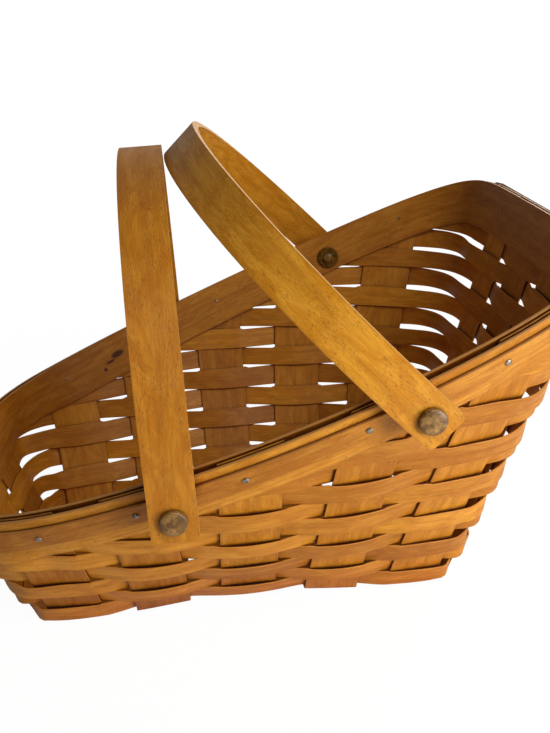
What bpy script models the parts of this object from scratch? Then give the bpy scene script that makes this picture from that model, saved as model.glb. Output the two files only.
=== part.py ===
"""Splint basket with a slanted rim and two swing handles, for a Blender 4.5 background run.

Metres, +Z up. The origin is below the middle of the whole object, on the level that it stands on.
X runs from the shallow end to the deep end, Y runs across, and the near side is -Y.
"""

import math

import bmesh
import bpy
from mathutils import Matrix, Vector

# Base, measured to the middle of the wall
BASE_SHALLOW = 0.112
BASE_DEEP = 0.115
BASE_HALF_WIDTH = 0.0515
BASE_CORNER_POWER = 13.0
BASE_ARCH = 0.006
BASE_ARCH_HALF_LENGTH = 0.075
BASE_ARCH_FADE = 0.060

# Rim, measured to the middle of the wall at its top
RIM_SHALLOW = 0.138
RIM_DEEP = 0.166
RIM_SHALLOW_BOW = 0.006
RIM_DEEP_BOW = 0.0015
RIM_HALF_WIDTH = 0.1135
RIM_WIDEST_X = 0.050
RIM_TAPER = 1.12
RIM_SHALLOW_CORNER_POWER = 6.6
RIM_DEEP_CORNER_POWER = 7.8
RIM_HEIGHT = 0.1299
RIM_SLOPE = 0.3775
RIM_DIP = 0.0034
RIM_DIP_HALF_LENGTH = 0.150

# Wall profile: 0 is straight, more makes the wall spread early and rise steeply at the rim
SIDE_BULGE = 0.30
END_BULGE = 0.06

# Splints that make the base and turn up as the uprights
SPLINT_THICK = 0.0012
SPLINT_TOP_DROP = 0.0025
CROSS_COUNT = 5
CROSS_WIDTH = 0.0286
CROSS_SPACING = 0.045
CROSS_MIDDLE_X = 0.0014
CROSS_FAN = 0.144
CROSS_FAN_HEIGHT = 0.100
CROSS_FAN_POWER = 1.6
LONG_COUNT = 3
LONG_WIDTH = 0.0254
LONG_SPACING = 0.0325
LONG_FAN = 0.10
LONG_FAN_HEIGHT = 0.100
BEND_RADIUS = 0.003

# Weavers
WEAVER_THICK = 0.0012
ROW_COUNT = 14
ROW_START = 0.0042
ROWS_TO_RIM = 10.56
ROW_PITCH = (RIM_HEIGHT - ROW_START) / ROWS_TO_RIM
ROW_GAP = 0.0005
ROW_END_COVER = 0.004
SHORTEST_STEP = 0.002
CORNER_LEAN_SHARE = 0.20
CORNER_LEAN_SPREAD = 1.4
CORNER_NARROWING = 0.0016
CORNER_BEND_SHARE = 0.6
CORNER_TURN = math.radians(15.0)

# Rim bands
BAND_THICK = 0.0016
BAND_DROP = 0.0258
TRIM_THICK = 0.0016
TRIM_DROP = 0.0050
TRIM_WIDTH = 0.0117
BAND_SAG = 0.00018

# Clearances
GAP = 0.0003
WEAVE_GAP = 0.00054
BAND_GAP = 0.0006
HANDLE_GAP = 0.0012
HANDLE_REST_GAP = 0.0015

# Tacks through the trim strip and the outer band
TACK_HEAD_RADIUS = 0.0016
TACK_HEAD_HEIGHT = 0.0007
TACK_SHANK_RADIUS = 0.0006
TACK_SIDES = 8
NEAR_TACK_SPREAD = 0.93
NEAR_TACK_SHIFT = -0.0025

# Swing handles
HANDLE_WIDTH = 0.0208
HANDLE_THICK = 0.004
HANDLE_EDGE = 0.0008
HANDLE_REACH = 0.1322
HANDLE_TAIL = 0.0108
HANDLE_TAIL_CORNER = 0.0022
HANDLE_ARCH_POWER = 2.06
HANDLE_STEPS = 26
PIVOT_DROP = 0.0145
FRONT_PIVOT_X = -0.0328
FRONT_TILT = math.radians(1.5)
FRONT_FALL = math.radians(127.0)
BACK_PIVOT_X = 0.0752
BACK_FALL = math.radians(-42.5)

# Rivets that carry the handles
RIVET_RADIUS = 0.0020
RIVET_BORE_RADIUS = 0.0024
RIVET_HEAD_RADIUS = 0.0063
RIVET_HEAD_HEIGHT = 0.0036
RIVET_TAIL_RADIUS = 0.0032
RIVET_TAIL_HEIGHT = 0.0012
RIVET_SIDES = 16
WASHER_RADIUS = 0.0065
WASHER_THICK = 0.0010
WASHER_GAP = 0.0005
WASHER_BORE_RADIUS = 0.0027

# Slat across the outside of the deep end
SLAT_LENGTH = 0.159
SLAT_HEIGHT = 0.026
SLAT_THICK = 0.0042
SLAT_RISE = -0.0032
SLAT_CORNER = 0.004
SLAT_TACK_SPACING = 0.030

# Half the room between the two bands, and the middles of what they hold
WEAVE_OFFSET = SPLINT_THICK / 2 + WEAVE_GAP + WEAVER_THICK / 2
BAND_INNER_FACE = WEAVE_OFFSET + WEAVER_THICK / 2 + BAND_GAP
BAND_OFFSET = BAND_INNER_FACE + BAND_THICK / 2
BAND_OUTER_FACE = BAND_INNER_FACE + BAND_THICK
TRIM_OFFSET = BAND_OUTER_FACE + GAP + TRIM_THICK / 2
TRIM_OUTER_FACE = BAND_OUTER_FACE + GAP + TRIM_THICK

# Colours as sRGB hex, roughness and metallic value
FINISHES = {
    "maple_splint": ("C88A3C", 0.50, 0.0),
    "maple_band": ("C98A3E", 0.45, 0.0),
    "maple_handle": ("B9772A", 0.40, 0.0),
    "maple_slat": ("A8702E", 0.45, 0.0),
    "tack_steel": ("9C968C", 0.35, 1.0),
    "rivet_head": ("8A6A3E", 0.50, 0.0),
    "washer_brass": ("7A5A28", 0.40, 1.0),
}


def linear(channel):
    """One sRGB channel, 0 to 1, as Blender's linear value."""
    return channel / 12.92 if channel <= 0.04045 else ((channel + 0.055) / 1.055) ** 2.4


def material(name, finish):
    """A material of the node's own, with the colour of its finish."""
    colour, roughness, metallic = FINISHES[finish]
    made = bpy.data.materials.new(name)
    made.use_nodes = True
    shader = made.node_tree.nodes["Principled BSDF"]
    rgb = [linear(int(colour[i : i + 2], 16) / 255) for i in (0, 2, 4)]
    shader.inputs["Base Color"].default_value = (*rgb, 1.0)
    shader.inputs["Roughness"].default_value = roughness
    shader.inputs["Metallic"].default_value = metallic
    return made


def new_object(name, mesh_maker, finish):
    """Wraps a bmesh as a named object with its own material."""
    mesh = bpy.data.meshes.new(name)
    bmesh.ops.recalc_face_normals(mesh_maker, faces=mesh_maker.faces)
    mesh_maker.to_mesh(mesh)
    mesh_maker.free()
    made = bpy.data.objects.new(name, mesh)
    bpy.context.scene.collection.objects.link(made)
    if finish:
        mesh.materials.append(material(name, finish))
    return made


def outline(angle, length, bow, half_width, corner_power):
    """Half of a rounded rectangle in plan at a plan angle: 0 is the deep end, -90 degrees the near side."""
    across = math.cos(angle)
    along = math.sin(angle)
    size = (abs(across) ** corner_power + abs(along) ** corner_power) ** (-1 / corner_power)
    x = across * size * (length + bow * (1 - (along * size) ** 2))
    return x, along * size * half_width(x)


def rim_half_width(x):
    return RIM_HALF_WIDTH - RIM_TAPER * (x - RIM_WIDEST_X) ** 2


def base_half_width(_x):
    return BASE_HALF_WIDTH


def rim_outline(angle):
    if math.cos(angle) > 0:
        return outline(angle, RIM_DEEP, RIM_DEEP_BOW, rim_half_width, RIM_DEEP_CORNER_POWER)
    return outline(angle, RIM_SHALLOW, RIM_SHALLOW_BOW, rim_half_width, RIM_SHALLOW_CORNER_POWER)


def rim_top(x):
    """Height of the rim's top along the basket: a slope that dips a little in the middle."""
    return RIM_HEIGHT + RIM_SLOPE * x - RIM_DIP * (1 - (x / RIM_DIP_HALF_LENGTH) ** 2)


def rim_height(angle):
    """Height of the rim's top at a plan angle."""
    return rim_top(rim_outline(angle)[0])


def wall(angle, z):
    """Middle of the wall at a plan angle and a height."""
    base_length = BASE_DEEP if math.cos(angle) > 0 else BASE_SHALLOW
    base = outline(angle, base_length, 0.0, base_half_width, BASE_CORNER_POWER)
    rim = rim_outline(angle)
    rise = z / rim_top(rim[0])
    point = [
        b + (r - b) * rise * (1 + bulge * (1 - rise))
        for b, r, bulge in zip(base, rim, (END_BULGE, SIDE_BULGE))
    ]
    return Vector((*point, z))


def wall_normal(angle, z):
    """Unit normal of the wall, which points out of the basket and a little down."""
    step = 1e-3
    along = wall(angle + step, z) - wall(angle - step, z)
    rise = wall(angle, z + step) - wall(angle, z - step)
    return along.cross(rise).normalized()


def on_wall(angle, z, offset=0.0):
    """The wall's point at a plan angle and a height, moved that far out along the wall's normal."""
    return wall(angle, z) + wall_normal(angle, z) * offset


def heading(angle, z):
    """Direction in plan that the wall faces."""
    normal = wall_normal(angle, z)
    return math.atan2(normal.y, normal.x)


def solve(low, high, is_below):
    """The value between low and high where a test that holds at low stops holding."""
    for _ in range(36):
        middle = (low + high) / 2
        if is_below(middle):
            low = middle
        else:
            high = middle
    return (low + high) / 2


def angle_at(target, axis, low, high, z):
    """Plan angle between low and high at which the wall's x or y has this value."""
    rising = wall(high, z)[axis] > wall(low, z)[axis]
    return solve(low, high, lambda angle: (wall(angle, z)[axis] < target) == rising)


def cross_x(index, z):
    """Middle of a crosswise splint where it stands in a long wall."""
    fan = 1 + CROSS_FAN * (max(z, 0.0) / CROSS_FAN_HEIGHT) ** CROSS_FAN_POWER
    return CROSS_MIDDLE_X + (index - (CROSS_COUNT - 1) / 2) * CROSS_SPACING * fan


def long_y(index, z):
    """Middle of a lengthwise splint where it stands in an end wall."""
    fan = 1 + LONG_FAN * max(z, 0.0) / LONG_FAN_HEIGHT
    return (index - (LONG_COUNT - 1) / 2) * LONG_SPACING * fan


def upright_angle(side, index, z, shift=0.0):
    """Plan angle of an upright's middle, or of a line that far along the wall from it.

    The sides run round the basket: near, deep, far and shallow.
    """
    if side == "near":
        return angle_at(cross_x(index, z) + shift, 0, -math.pi, 0.0, z)
    if side == "far":
        return angle_at(cross_x(index, z) - shift, 0, math.pi, 0.0, z)
    if side == "deep":
        return angle_at(long_y(index, z) + shift, 1, -math.pi / 2, math.pi / 2, z)
    return angle_at(long_y(index, z) - shift, 1, 1.5 * math.pi, 0.5 * math.pi, z)


def rim_angle(side, index, shift=0.0):
    """Plan angle at which an upright, or a line that far along from it, reaches the rim's top."""
    z = RIM_HEIGHT
    for _ in range(4):
        angle = upright_angle(side, index, z, shift)
        z = rim_height(angle)
    return angle


def uprights_in_order():
    """Every upright in the order that a weaver meets it, as (side, index)."""
    cross = range(CROSS_COUNT)
    long = range(LONG_COUNT)
    order = [("near", i) for i in cross]
    order += [("deep", i) for i in long]
    order += [("far", i) for i in reversed(cross)]
    order += [("shallow", i) for i in reversed(long)]
    return order


def upright_half_width(side):
    return (CROSS_WIDTH if side in ("near", "far") else LONG_WIDTH) / 2


def corner_beside(side, index):
    """1 where a corner follows an upright, -1 where one comes before it, otherwise 0."""
    last = (CROSS_COUNT if side in ("near", "far") else LONG_COUNT) - 1
    if 0 < index < last:
        return 0
    return 1 if (index == last) == (side in ("near", "deep")) else -1


def shifts_across(side, index, edge):
    """Distances along the wall from an upright's middle, in the order that a weaver meets them.

    An upright beside a corner bends round it, so it has two more between its edges.
    """
    corner = corner_beside(side, index)
    if corner == 0:
        return [-edge, edge]
    return sorted([-edge, 0.0, corner * upright_half_width(side) * CORNER_BEND_SHARE, edge])


def lifted(point):
    """The point as raised by the arch of the base, which fades out up the wall."""
    reach = min(abs(point.x) / BASE_ARCH_HALF_LENGTH, 1.0)
    fade = max(0.0, 1 - point.z / BASE_ARCH_FADE)
    return point + Vector((0.0, 0.0, BASE_ARCH * math.cos(reach * math.pi / 2) ** 2 * fade))


def ribbon(name, rows, thick, finish, closed=False):
    """A flat strip from rows of points across it, thickened evenly to both sides."""
    maker = bmesh.new()
    grid = [[maker.verts.new(point) for point in row] for row in rows]
    following = grid[1:] + grid[:1] if closed else grid[1:]
    for row, next_row in zip(grid, following):
        for low, high, next_low, next_high in zip(row, row[1:], next_row, next_row[1:]):
            maker.faces.new((low, next_low, next_high, high))
    made = new_object(name, maker, finish)
    solid = made.modifiers.new("Thickness", "SOLIDIFY")
    solid.thickness = thick
    solid.offset = 0.0
    solid.use_even_offset = True
    return made


def row_heights(row):
    """Lower and upper edge of a row of weaving, counted from 0 at the base."""
    low = ROW_START + row * ROW_PITCH
    return low, low + ROW_PITCH - ROW_GAP


def corner_angles(start, end, z):
    """Plan angles between two uprights that divide a corner into equal turns."""
    first = heading(start, z)
    turn = (heading(end, z) - first) % (2 * math.pi)
    count = math.ceil(turn / CORNER_TURN)
    angles = []
    for i in range(1, count):
        share = turn * i / count
        angles.append(
            solve(start, end, lambda angle: (heading(angle, z) - first) % (2 * math.pi) < share)
        )
    return angles


def corner_lean(angle, share, high):
    """Share of the wall's lean that a weaver keeps in a corner: all of it where the bands hold it."""
    below = rim_height(angle) - BAND_DROP - high
    free = min(max(below / ROW_PITCH, 0.0), 1.0)
    into_corner = min(CORNER_LEAN_SPREAD * math.sin(math.pi * share), 1.0)
    return 1 - (1 - CORNER_LEAN_SHARE) * into_corner * free


def weaver_stations(row):
    """Plan angle, offset from the wall, share of its lean and upper edge at each station of a row.

    A weaver is a little narrower in the corners, where the rows stand apart.
    """
    low, high = row_heights(row)
    middle = (low + high) / 2
    stops = []
    for place, (side, index) in enumerate(uprights_in_order()):
        shifts = shifts_across(side, index, upright_half_width(side) + SPLINT_THICK)
        angles = [upright_angle(side, index, middle, shift) for shift in shifts]
        over = (place + row) % 2 == 0
        corner = corner_beside(side, index)
        tops = [high - CORNER_NARROWING * max(0.0, corner * shift / shifts[-1]) for shift in shifts]
        stops.append((side, angles, tops, WEAVE_OFFSET if over else -WEAVE_OFFSET))
    stations = []
    for stop, next_stop in zip(stops, stops[1:] + stops[:1]):
        side, angles, tops, offset = stop
        next_side, next_angles, _, next_offset = next_stop
        stations += [(angle, offset, 1.0, top) for angle, top in zip(angles, tops)]
        if side == next_side:
            continue
        start = angles[-1]
        end = start + (next_angles[0] - start) % (2 * math.pi)
        for angle in corner_angles(start, end, middle):
            share = (angle - start) / (end - start)
            ease = share * share * (3 - 2 * share)
            lean = corner_lean(angle, share, high)
            turned_offset = offset + (next_offset - offset) * ease
            stations.append((angle, turned_offset, lean, high - CORNER_NARROWING))
    return stations


def strip_pair(angle, low, high, offset, lean):
    """Lower and upper edge point of a weaver, leaning by a share of the wall's own lean."""
    edges = [on_wall(angle, z, offset) for z in (low, high)]
    middle = (edges[0] + edges[1]) / 2
    pair = []
    for edge in edges:
        point = middle.lerp(edge, lean)
        point.z = edge.z
        pair.append(lifted(point))
    return pair


def under_rim(angle, row):
    """True where the rim covers this row's upper edge, so that the weaver goes on there."""
    return rim_height(angle) > row_heights(row)[1] + ROW_END_COVER


def weaver_pairs(row):
    """Edge points of a row's stations, and whether it closes on itself.

    The slanted rim cuts the upper rows: they end between the bands, as far on as it covers them.
    """
    low = row_heights(row)[0]
    stations = weaver_stations(row)
    covered = [under_rim(station[0], row) for station in stations]
    if all(covered):
        return [strip_pair(angle, low, top, offset, lean) for angle, offset, lean, top in stations], True
    count = len(stations)
    first = next(i for i in range(count) if covered[i] and not covered[i - 1])
    length = next(i for i in range(1, count) if not covered[(first + i) % count])
    kept = [stations[(first + i) % count] for i in range(length)]
    pairs = [strip_pair(angle, low, top, offset, lean) for angle, offset, lean, top in kept]
    for inside, outside, at_start in (
        (kept[0], stations[first - 1], True),
        (kept[-1], stations[(first + length) % count], False),
    ):
        turn = (outside[0] - inside[0] + math.pi) % (2 * math.pi) - math.pi
        share = solve(0.0, 1.0, lambda part: under_rim(inside[0] + turn * part, row))
        offset = inside[1] + (outside[1] - inside[1]) * share
        end = strip_pair(inside[0] + turn * share, low, inside[3], offset, inside[2])
        if (end[0] - pairs[0 if at_start else -1][0]).length > SHORTEST_STEP:
            pairs.insert(0 if at_start else len(pairs), end)
    return pairs, False


def make_weaver(row):
    """One row of the weaving."""
    pairs, closed = weaver_pairs(row)
    return ribbon(f"weaver_row_{row + 1:02d}", pairs, WEAVER_THICK, "maple_splint", closed=closed)


def upright_rows(side, index):
    """Points across an upright from its top down to the bend, left to right seen from outside."""
    shifts = shifts_across(side, index, upright_half_width(side))
    foot = BEND_RADIUS * 1.6
    tops = [rim_height(rim_angle(side, index, shift)) - SPLINT_TOP_DROP for shift in shifts]
    steps = max(3, round((max(tops) - foot) / (1.3 * ROW_PITCH)))
    rows = []
    for i in range(steps + 1):
        heights = [top + (foot - top) * i / steps for top in tops]
        rows.append(
            [on_wall(upright_angle(side, index, z, shift), z) for shift, z in zip(shifts, heights)]
        )
    return rows


def bend_rows(wall_row, direction, floor):
    """Two rows that round the bend from the wall down to the base."""
    foot = [point - direction * BEND_RADIUS * 1.15 for point in wall_row]
    flat = [point - direction * BEND_RADIUS * 1.9 for point in wall_row]
    for low, level in zip(foot, flat):
        low.z = BEND_RADIUS * 0.5
        level.z = floor
    return [foot, flat]


def base_level(cross_index, long_index, is_cross):
    """Height of a splint's middle where it crosses another in the base's plain weave."""
    cross_below = (cross_index + long_index) % 2 == 1
    low = SPLINT_THICK / 2
    return low if cross_below == is_cross else low + SPLINT_THICK + WEAVE_GAP


def cross_base_rows(index):
    """Rows of a crosswise splint along the base, near to far."""
    rows = []
    for j in range(LONG_COUNT):
        y = (j - (LONG_COUNT - 1) / 2) * LONG_SPACING
        for edge in (-1, 1):
            middle = Vector((cross_x(index, 0.0), y + edge * (LONG_WIDTH / 2 + SPLINT_THICK), 0.0))
            middle.z = base_level(index, j, True)
            shifts = shifts_across("near", index, CROSS_WIDTH / 2)
            rows.append([middle + Vector((shift, 0.0, 0.0)) for shift in shifts])
    return rows


def long_base_rows(index):
    """Rows of a lengthwise splint along the base, shallow end to deep end."""
    y = (index - (LONG_COUNT - 1) / 2) * LONG_SPACING
    rows = []
    for i in range(CROSS_COUNT):
        for edge in (-1, 1):
            middle = Vector((cross_x(i, 0.0) + edge * (CROSS_WIDTH / 2 + SPLINT_THICK), y, 0.0))
            middle.z = base_level(i, index, False)
            shifts = shifts_across("shallow", index, LONG_WIDTH / 2)
            rows.append([middle - Vector((0.0, shift, 0.0)) for shift in shifts])
    return rows


def make_splint(name, first_side, last_side, index, base, direction):
    """One splint: down a wall, along the base and up the wall across from it."""
    first = upright_rows(first_side, index)
    last = [row[::-1] for row in upright_rows(last_side, index)]
    first_bend = bend_rows(first[-1], -direction, base[0][0].z)
    last_bend = bend_rows(last[-1], direction, base[-1][0].z)
    rows = first + first_bend + base[1:-1] + last_bend[::-1] + last[::-1]
    lifted_rows = [[lifted(point) for point in row] for row in rows]
    return ribbon(name, lifted_rows, SPLINT_THICK, "maple_splint")


def make_cross_splint(index):
    """Near upright, base run and far upright of one crosswise splint."""
    name = f"cross_splint_{index + 1}"
    return make_splint(name, "near", "far", index, cross_base_rows(index), Vector((0, 1, 0)))


def make_long_splint(index):
    """Shallow-end upright, base run and deep-end upright of one lengthwise splint."""
    name = f"lengthwise_splint_{index + 1}"
    return make_splint(name, "shallow", "deep", index, long_base_rows(index), Vector((1, 0, 0)))


def band_angles():
    """Plan angles round the rim, closer together where it turns."""
    count = 720
    angles = [-math.pi + 2 * math.pi * i / count for i in range(count)]
    points = [wall(a, RIM_HEIGHT) for a in angles]
    chosen = [0]
    length = turn = 0.0
    for i in range(1, count):
        step = points[i] - points[i - 1]
        after = points[(i + 1) % count] - points[i]
        length += step.length
        turn += abs(step.angle(after))
        if length * turn / 8 > BAND_SAG:
            chosen.append(i)
            length = turn = 0.0
    return [angles[i] for i in chosen]


def make_band(name, offset, thick, drop, width, angles, finish):
    """A band all round the rim, its upper edge that far below the rim's top."""
    pairs = []
    for angle in angles:
        top = rim_height(angle)
        pairs.append([on_wall(angle, top - drop - width, offset), on_wall(angle, top - drop, offset)])
    return ribbon(name, pairs, thick, finish, closed=True)


def turned(profile, sides):
    """A solid turned about its own Z axis from (radius, height) points that start and end on the axis."""
    maker = bmesh.new()
    points = [maker.verts.new((radius, 0.0, height)) for radius, height in profile]
    edges = [maker.edges.new(pair) for pair in zip(points, points[1:])]
    bmesh.ops.spin(
        maker, geom=points + edges, cent=(0, 0, 0), axis=(0, 0, 1), angle=2 * math.pi,
        steps=sides, use_merge=True, use_duplicate=False,
    )
    bmesh.ops.remove_doubles(maker, verts=maker.verts, dist=1e-6)
    return maker


def place_along(maker, position, direction):
    """Turns a solid's Z axis to a direction and moves it there."""
    turn = direction.to_track_quat("Z", "Y").to_matrix().to_4x4()
    bmesh.ops.transform(maker, matrix=Matrix.Translation(position) @ turn, verts=maker.verts)


def bore(name, position, direction, radius, length, sides):
    """A hidden cutter, centred on a point."""
    maker = bmesh.new()
    bmesh.ops.create_cone(
        maker, cap_ends=True, segments=sides, radius1=radius, radius2=radius, depth=length
    )
    place_along(maker, position, direction)
    made = new_object(name, maker, None)
    made.hide_render = True
    made.display_type = "WIRE"
    return made


def cut(target, cutter):
    """Cuts a bore out of a piece."""
    step = target.modifiers.new(cutter.name, "BOOLEAN")
    step.operation = "DIFFERENCE"
    step.solver = "EXACT"
    step.object = cutter


def tack_profile():
    """Shank and domed head: the head's underside is at height 0."""
    shank = TRIM_THICK + GAP + BAND_THICK
    return [
        (0.0, -shank),
        (TACK_SHANK_RADIUS, -shank),
        (TACK_SHANK_RADIUS, 0.0),
        (TACK_HEAD_RADIUS, 0.0),
        (TACK_HEAD_RADIUS * 0.8, TACK_HEAD_HEIGHT * 0.65),
        (0.0, TACK_HEAD_HEIGHT),
    ]


def make_tack(name, seat, direction):
    """A tack whose head rests just off its seat."""
    maker = turned(tack_profile(), TACK_SIDES)
    place_along(maker, seat + direction * GAP, direction)
    return new_object(name, maker, "tack_steel")


def tack_places():
    """Name, seat and direction of the tack over each upright; the slat's own tacks hold the deep end's middle."""
    places = []
    for side, index in uprights_in_order():
        if (side, index) == ("deep", LONG_COUNT // 2):
            continue
        drop = TRIM_DROP + TRIM_WIDTH / 2
        shift = cross_x(index, RIM_HEIGHT) * (NEAR_TACK_SPREAD - 1) + NEAR_TACK_SHIFT
        angle = rim_angle(side, index, shift if side == "near" else 0.0)
        z = rim_height(angle) - drop
        seat = on_wall(angle, z, TRIM_OUTER_FACE)
        places.append((f"tack_{side}_{index + 1}", seat, wall_normal(angle, z)))
    return places


def swing_half(pivot, tilt, fall):
    """Half of the room between a handle's legs that clears the rim from where it rests to where it lies.

    The tilt and the fall are turns from upright, toward the shallow end. Each point of the rim's
    outside that the handle passes sets how wide the arch is there.
    """
    tail = math.hypot(HANDLE_TAIL, HANDLE_WIDTH / 2)
    low, high = sorted((tilt, fall))
    widest = 0.0
    for step in range(-180, 0):
        angle = math.radians(step)
        top = rim_height(angle)
        for face, drop, width in (
            (BAND_OUTER_FACE, 0.0, BAND_DROP),
            (TRIM_OUTER_FACE, TRIM_DROP, TRIM_WIDTH),
        ):
            for share in (0.0, 0.25, 0.5, 0.75, 1.0):
                point = on_wall(angle, top - drop - width * share, face)
                away = math.hypot(point.x - pivot.x, point.z - pivot.z)
                turn = math.atan2(pivot.x - point.x, point.z - pivot.z)
                leg = math.asin(min(HANDLE_WIDTH / 2 / away, 1.0))
                if away < tail or (low - leg < turn < high + leg and away < HANDLE_REACH):
                    widest = max(widest, -point.y / arch_share(away))
    return widest + HANDLE_GAP + HANDLE_THICK / 2


def arch_share(reach):
    """Half width of the arch at this distance from its pivots, as a share of that at the pivots."""
    share = min(max(reach, 0.0) / HANDLE_REACH, 1.0)
    return (1 - share**HANDLE_ARCH_POWER) ** (1 / HANDLE_ARCH_POWER)


def resting_tilt(front, back):
    """Tilt at which the top of the back handle leans just clear of the front handle."""
    half = HANDLE_WIDTH / 2

    def is_clear(tilt):
        x = back.x - HANDLE_REACH * math.sin(tilt) - half * math.cos(tilt) - front.x
        z = back.z + HANDLE_REACH * math.cos(tilt) - half * math.sin(tilt) - front.z
        return x * math.cos(FRONT_TILT) + z * math.sin(FRONT_TILT) > half + HANDLE_REST_GAP

    return solve(0.0, math.pi / 2, is_clear)


def handle_path(half):
    """Middle line of a handle in its own plane, as (y, reach), near tail to far tail."""
    tail = HANDLE_TAIL
    corner = HANDLE_TAIL_CORNER
    leg = [(-half, -tail), (-half, -tail + corner)]
    arch = []
    for i in range(HANDLE_STEPS + 1):
        turn = math.pi * i / HANDLE_STEPS
        y = -half * math.copysign(abs(math.cos(turn)) ** (2 / HANDLE_ARCH_POWER), math.cos(turn))
        arch.append((y, HANDLE_REACH * abs(math.sin(turn)) ** (2 / HANDLE_ARCH_POWER)))
    arch = [(y, r) for y, r in arch if r > HANDLE_WIDTH / 2]
    return leg + arch + [(-y, r) for y, r in reversed(leg)]


def make_handle(name, pivot, tilt, half):
    """A flat bent strip with a rivet bore at each foot, tilted about the line through its pivots."""
    up = Vector((-math.sin(tilt), 0.0, math.cos(tilt)))
    across = Vector((math.cos(tilt), 0.0, math.sin(tilt)))
    path = handle_path(half)
    pairs = []
    for place, (y, reach) in enumerate(path):
        at_end = place in (0, len(path) - 1)
        half_width = HANDLE_WIDTH / 2 - (HANDLE_TAIL_CORNER if at_end else 0.0)
        middle = up * reach + Vector((0.0, y, 0.0))
        pairs.append([middle - across * half_width, middle + across * half_width])
    made = ribbon(name, pairs, HANDLE_THICK, "maple_handle")
    made.location = pivot
    soft = made.modifiers.new("Soft edges", "BEVEL")
    soft.width = HANDLE_EDGE
    soft.segments = 1
    soft.limit_method = "ANGLE"
    soft.angle_limit = math.radians(50)
    return made


def rivet_profile(inner, outer):
    """Rivet along its axis: the tail beyond the washer, the shank, and the head on the handle."""
    head = RIVET_HEAD_RADIUS
    rise = RIVET_HEAD_HEIGHT
    tail = RIVET_TAIL_RADIUS
    return [
        (0.0, inner - RIVET_TAIL_HEIGHT),
        (tail * 0.7, inner - RIVET_TAIL_HEIGHT * 0.75),
        (tail, inner),
        (RIVET_RADIUS, inner),
        (RIVET_RADIUS, outer),
        (head * 0.94, outer),
        (head, outer + rise * 0.15),
        (head, outer + rise * 0.55),
        (head * 0.75, outer + rise * 0.88),
        (0.0, outer + rise),
    ]


def washer_profile():
    """Half section of a washer, a closed ring round its own axis."""
    half = WASHER_THICK / 2
    return [
        (WASHER_BORE_RADIUS, -half),
        (WASHER_RADIUS, -half),
        (WASHER_RADIUS, half),
        (WASHER_BORE_RADIUS, half),
    ]


def turned_ring(profile, sides):
    """A ring turned about its own Z axis from a closed section."""
    maker = bmesh.new()
    points = [maker.verts.new((radius, 0.0, height)) for radius, height in profile]
    edges = [maker.edges.new(pair) for pair in zip(points, points[1:] + points[:1])]
    bmesh.ops.spin(
        maker, geom=points + edges, cent=(0, 0, 0), axis=(0, 0, 1), angle=2 * math.pi,
        steps=sides, use_merge=True, use_duplicate=False,
    )
    bmesh.ops.remove_doubles(maker, verts=maker.verts, dist=1e-6)
    return maker


def make_pivot(handle_name, pivot, half, side, pieces):
    """Rivet and washer on one side of a handle, and the bores that the rivet passes through."""
    sign = -1.0 if side == "near" else 1.0
    low, high = (-math.pi, 0.0) if side == "near" else (0.0, math.pi)
    angle = angle_at(pivot.x, 0, low, high, pivot.z)
    direction = Vector((0.0, sign, 0.0))
    normal = wall_normal(angle, pivot.z)
    facing = abs(normal.y)
    washer_out = BAND_OUTER_FACE + WASHER_GAP + WASHER_THICK / 2
    washer_seat = Vector((pivot.x, wall(angle, pivot.z).y, pivot.z)) - direction * (washer_out / facing)
    lean = RIVET_TAIL_RADIUS * math.sqrt(1 - facing**2) / facing
    inner = abs(washer_seat.y) - WASHER_THICK / 2 / facing - lean - GAP
    outer = half + HANDLE_THICK / 2 + GAP
    maker = turned(rivet_profile(inner, outer), RIVET_SIDES)
    place_along(maker, Vector((pivot.x, 0.0, pivot.z)), direction)
    new_object(f"rivet_{handle_name}_{side}", maker, "rivet_head")
    maker = turned_ring(washer_profile(), RIVET_SIDES)
    place_along(maker, washer_seat, normal)
    new_object(f"washer_{handle_name}_{side}", maker, "washer_brass")
    middle = Vector((pivot.x, sign * (inner + outer) / 2, pivot.z))
    cutter = bore(
        f"bore_{handle_name}_{side}", middle, direction, RIVET_BORE_RADIUS, (outer - inner) * 1.6, RIVET_SIDES
    )
    for piece in pieces:
        cut(piece, cutter)


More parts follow.
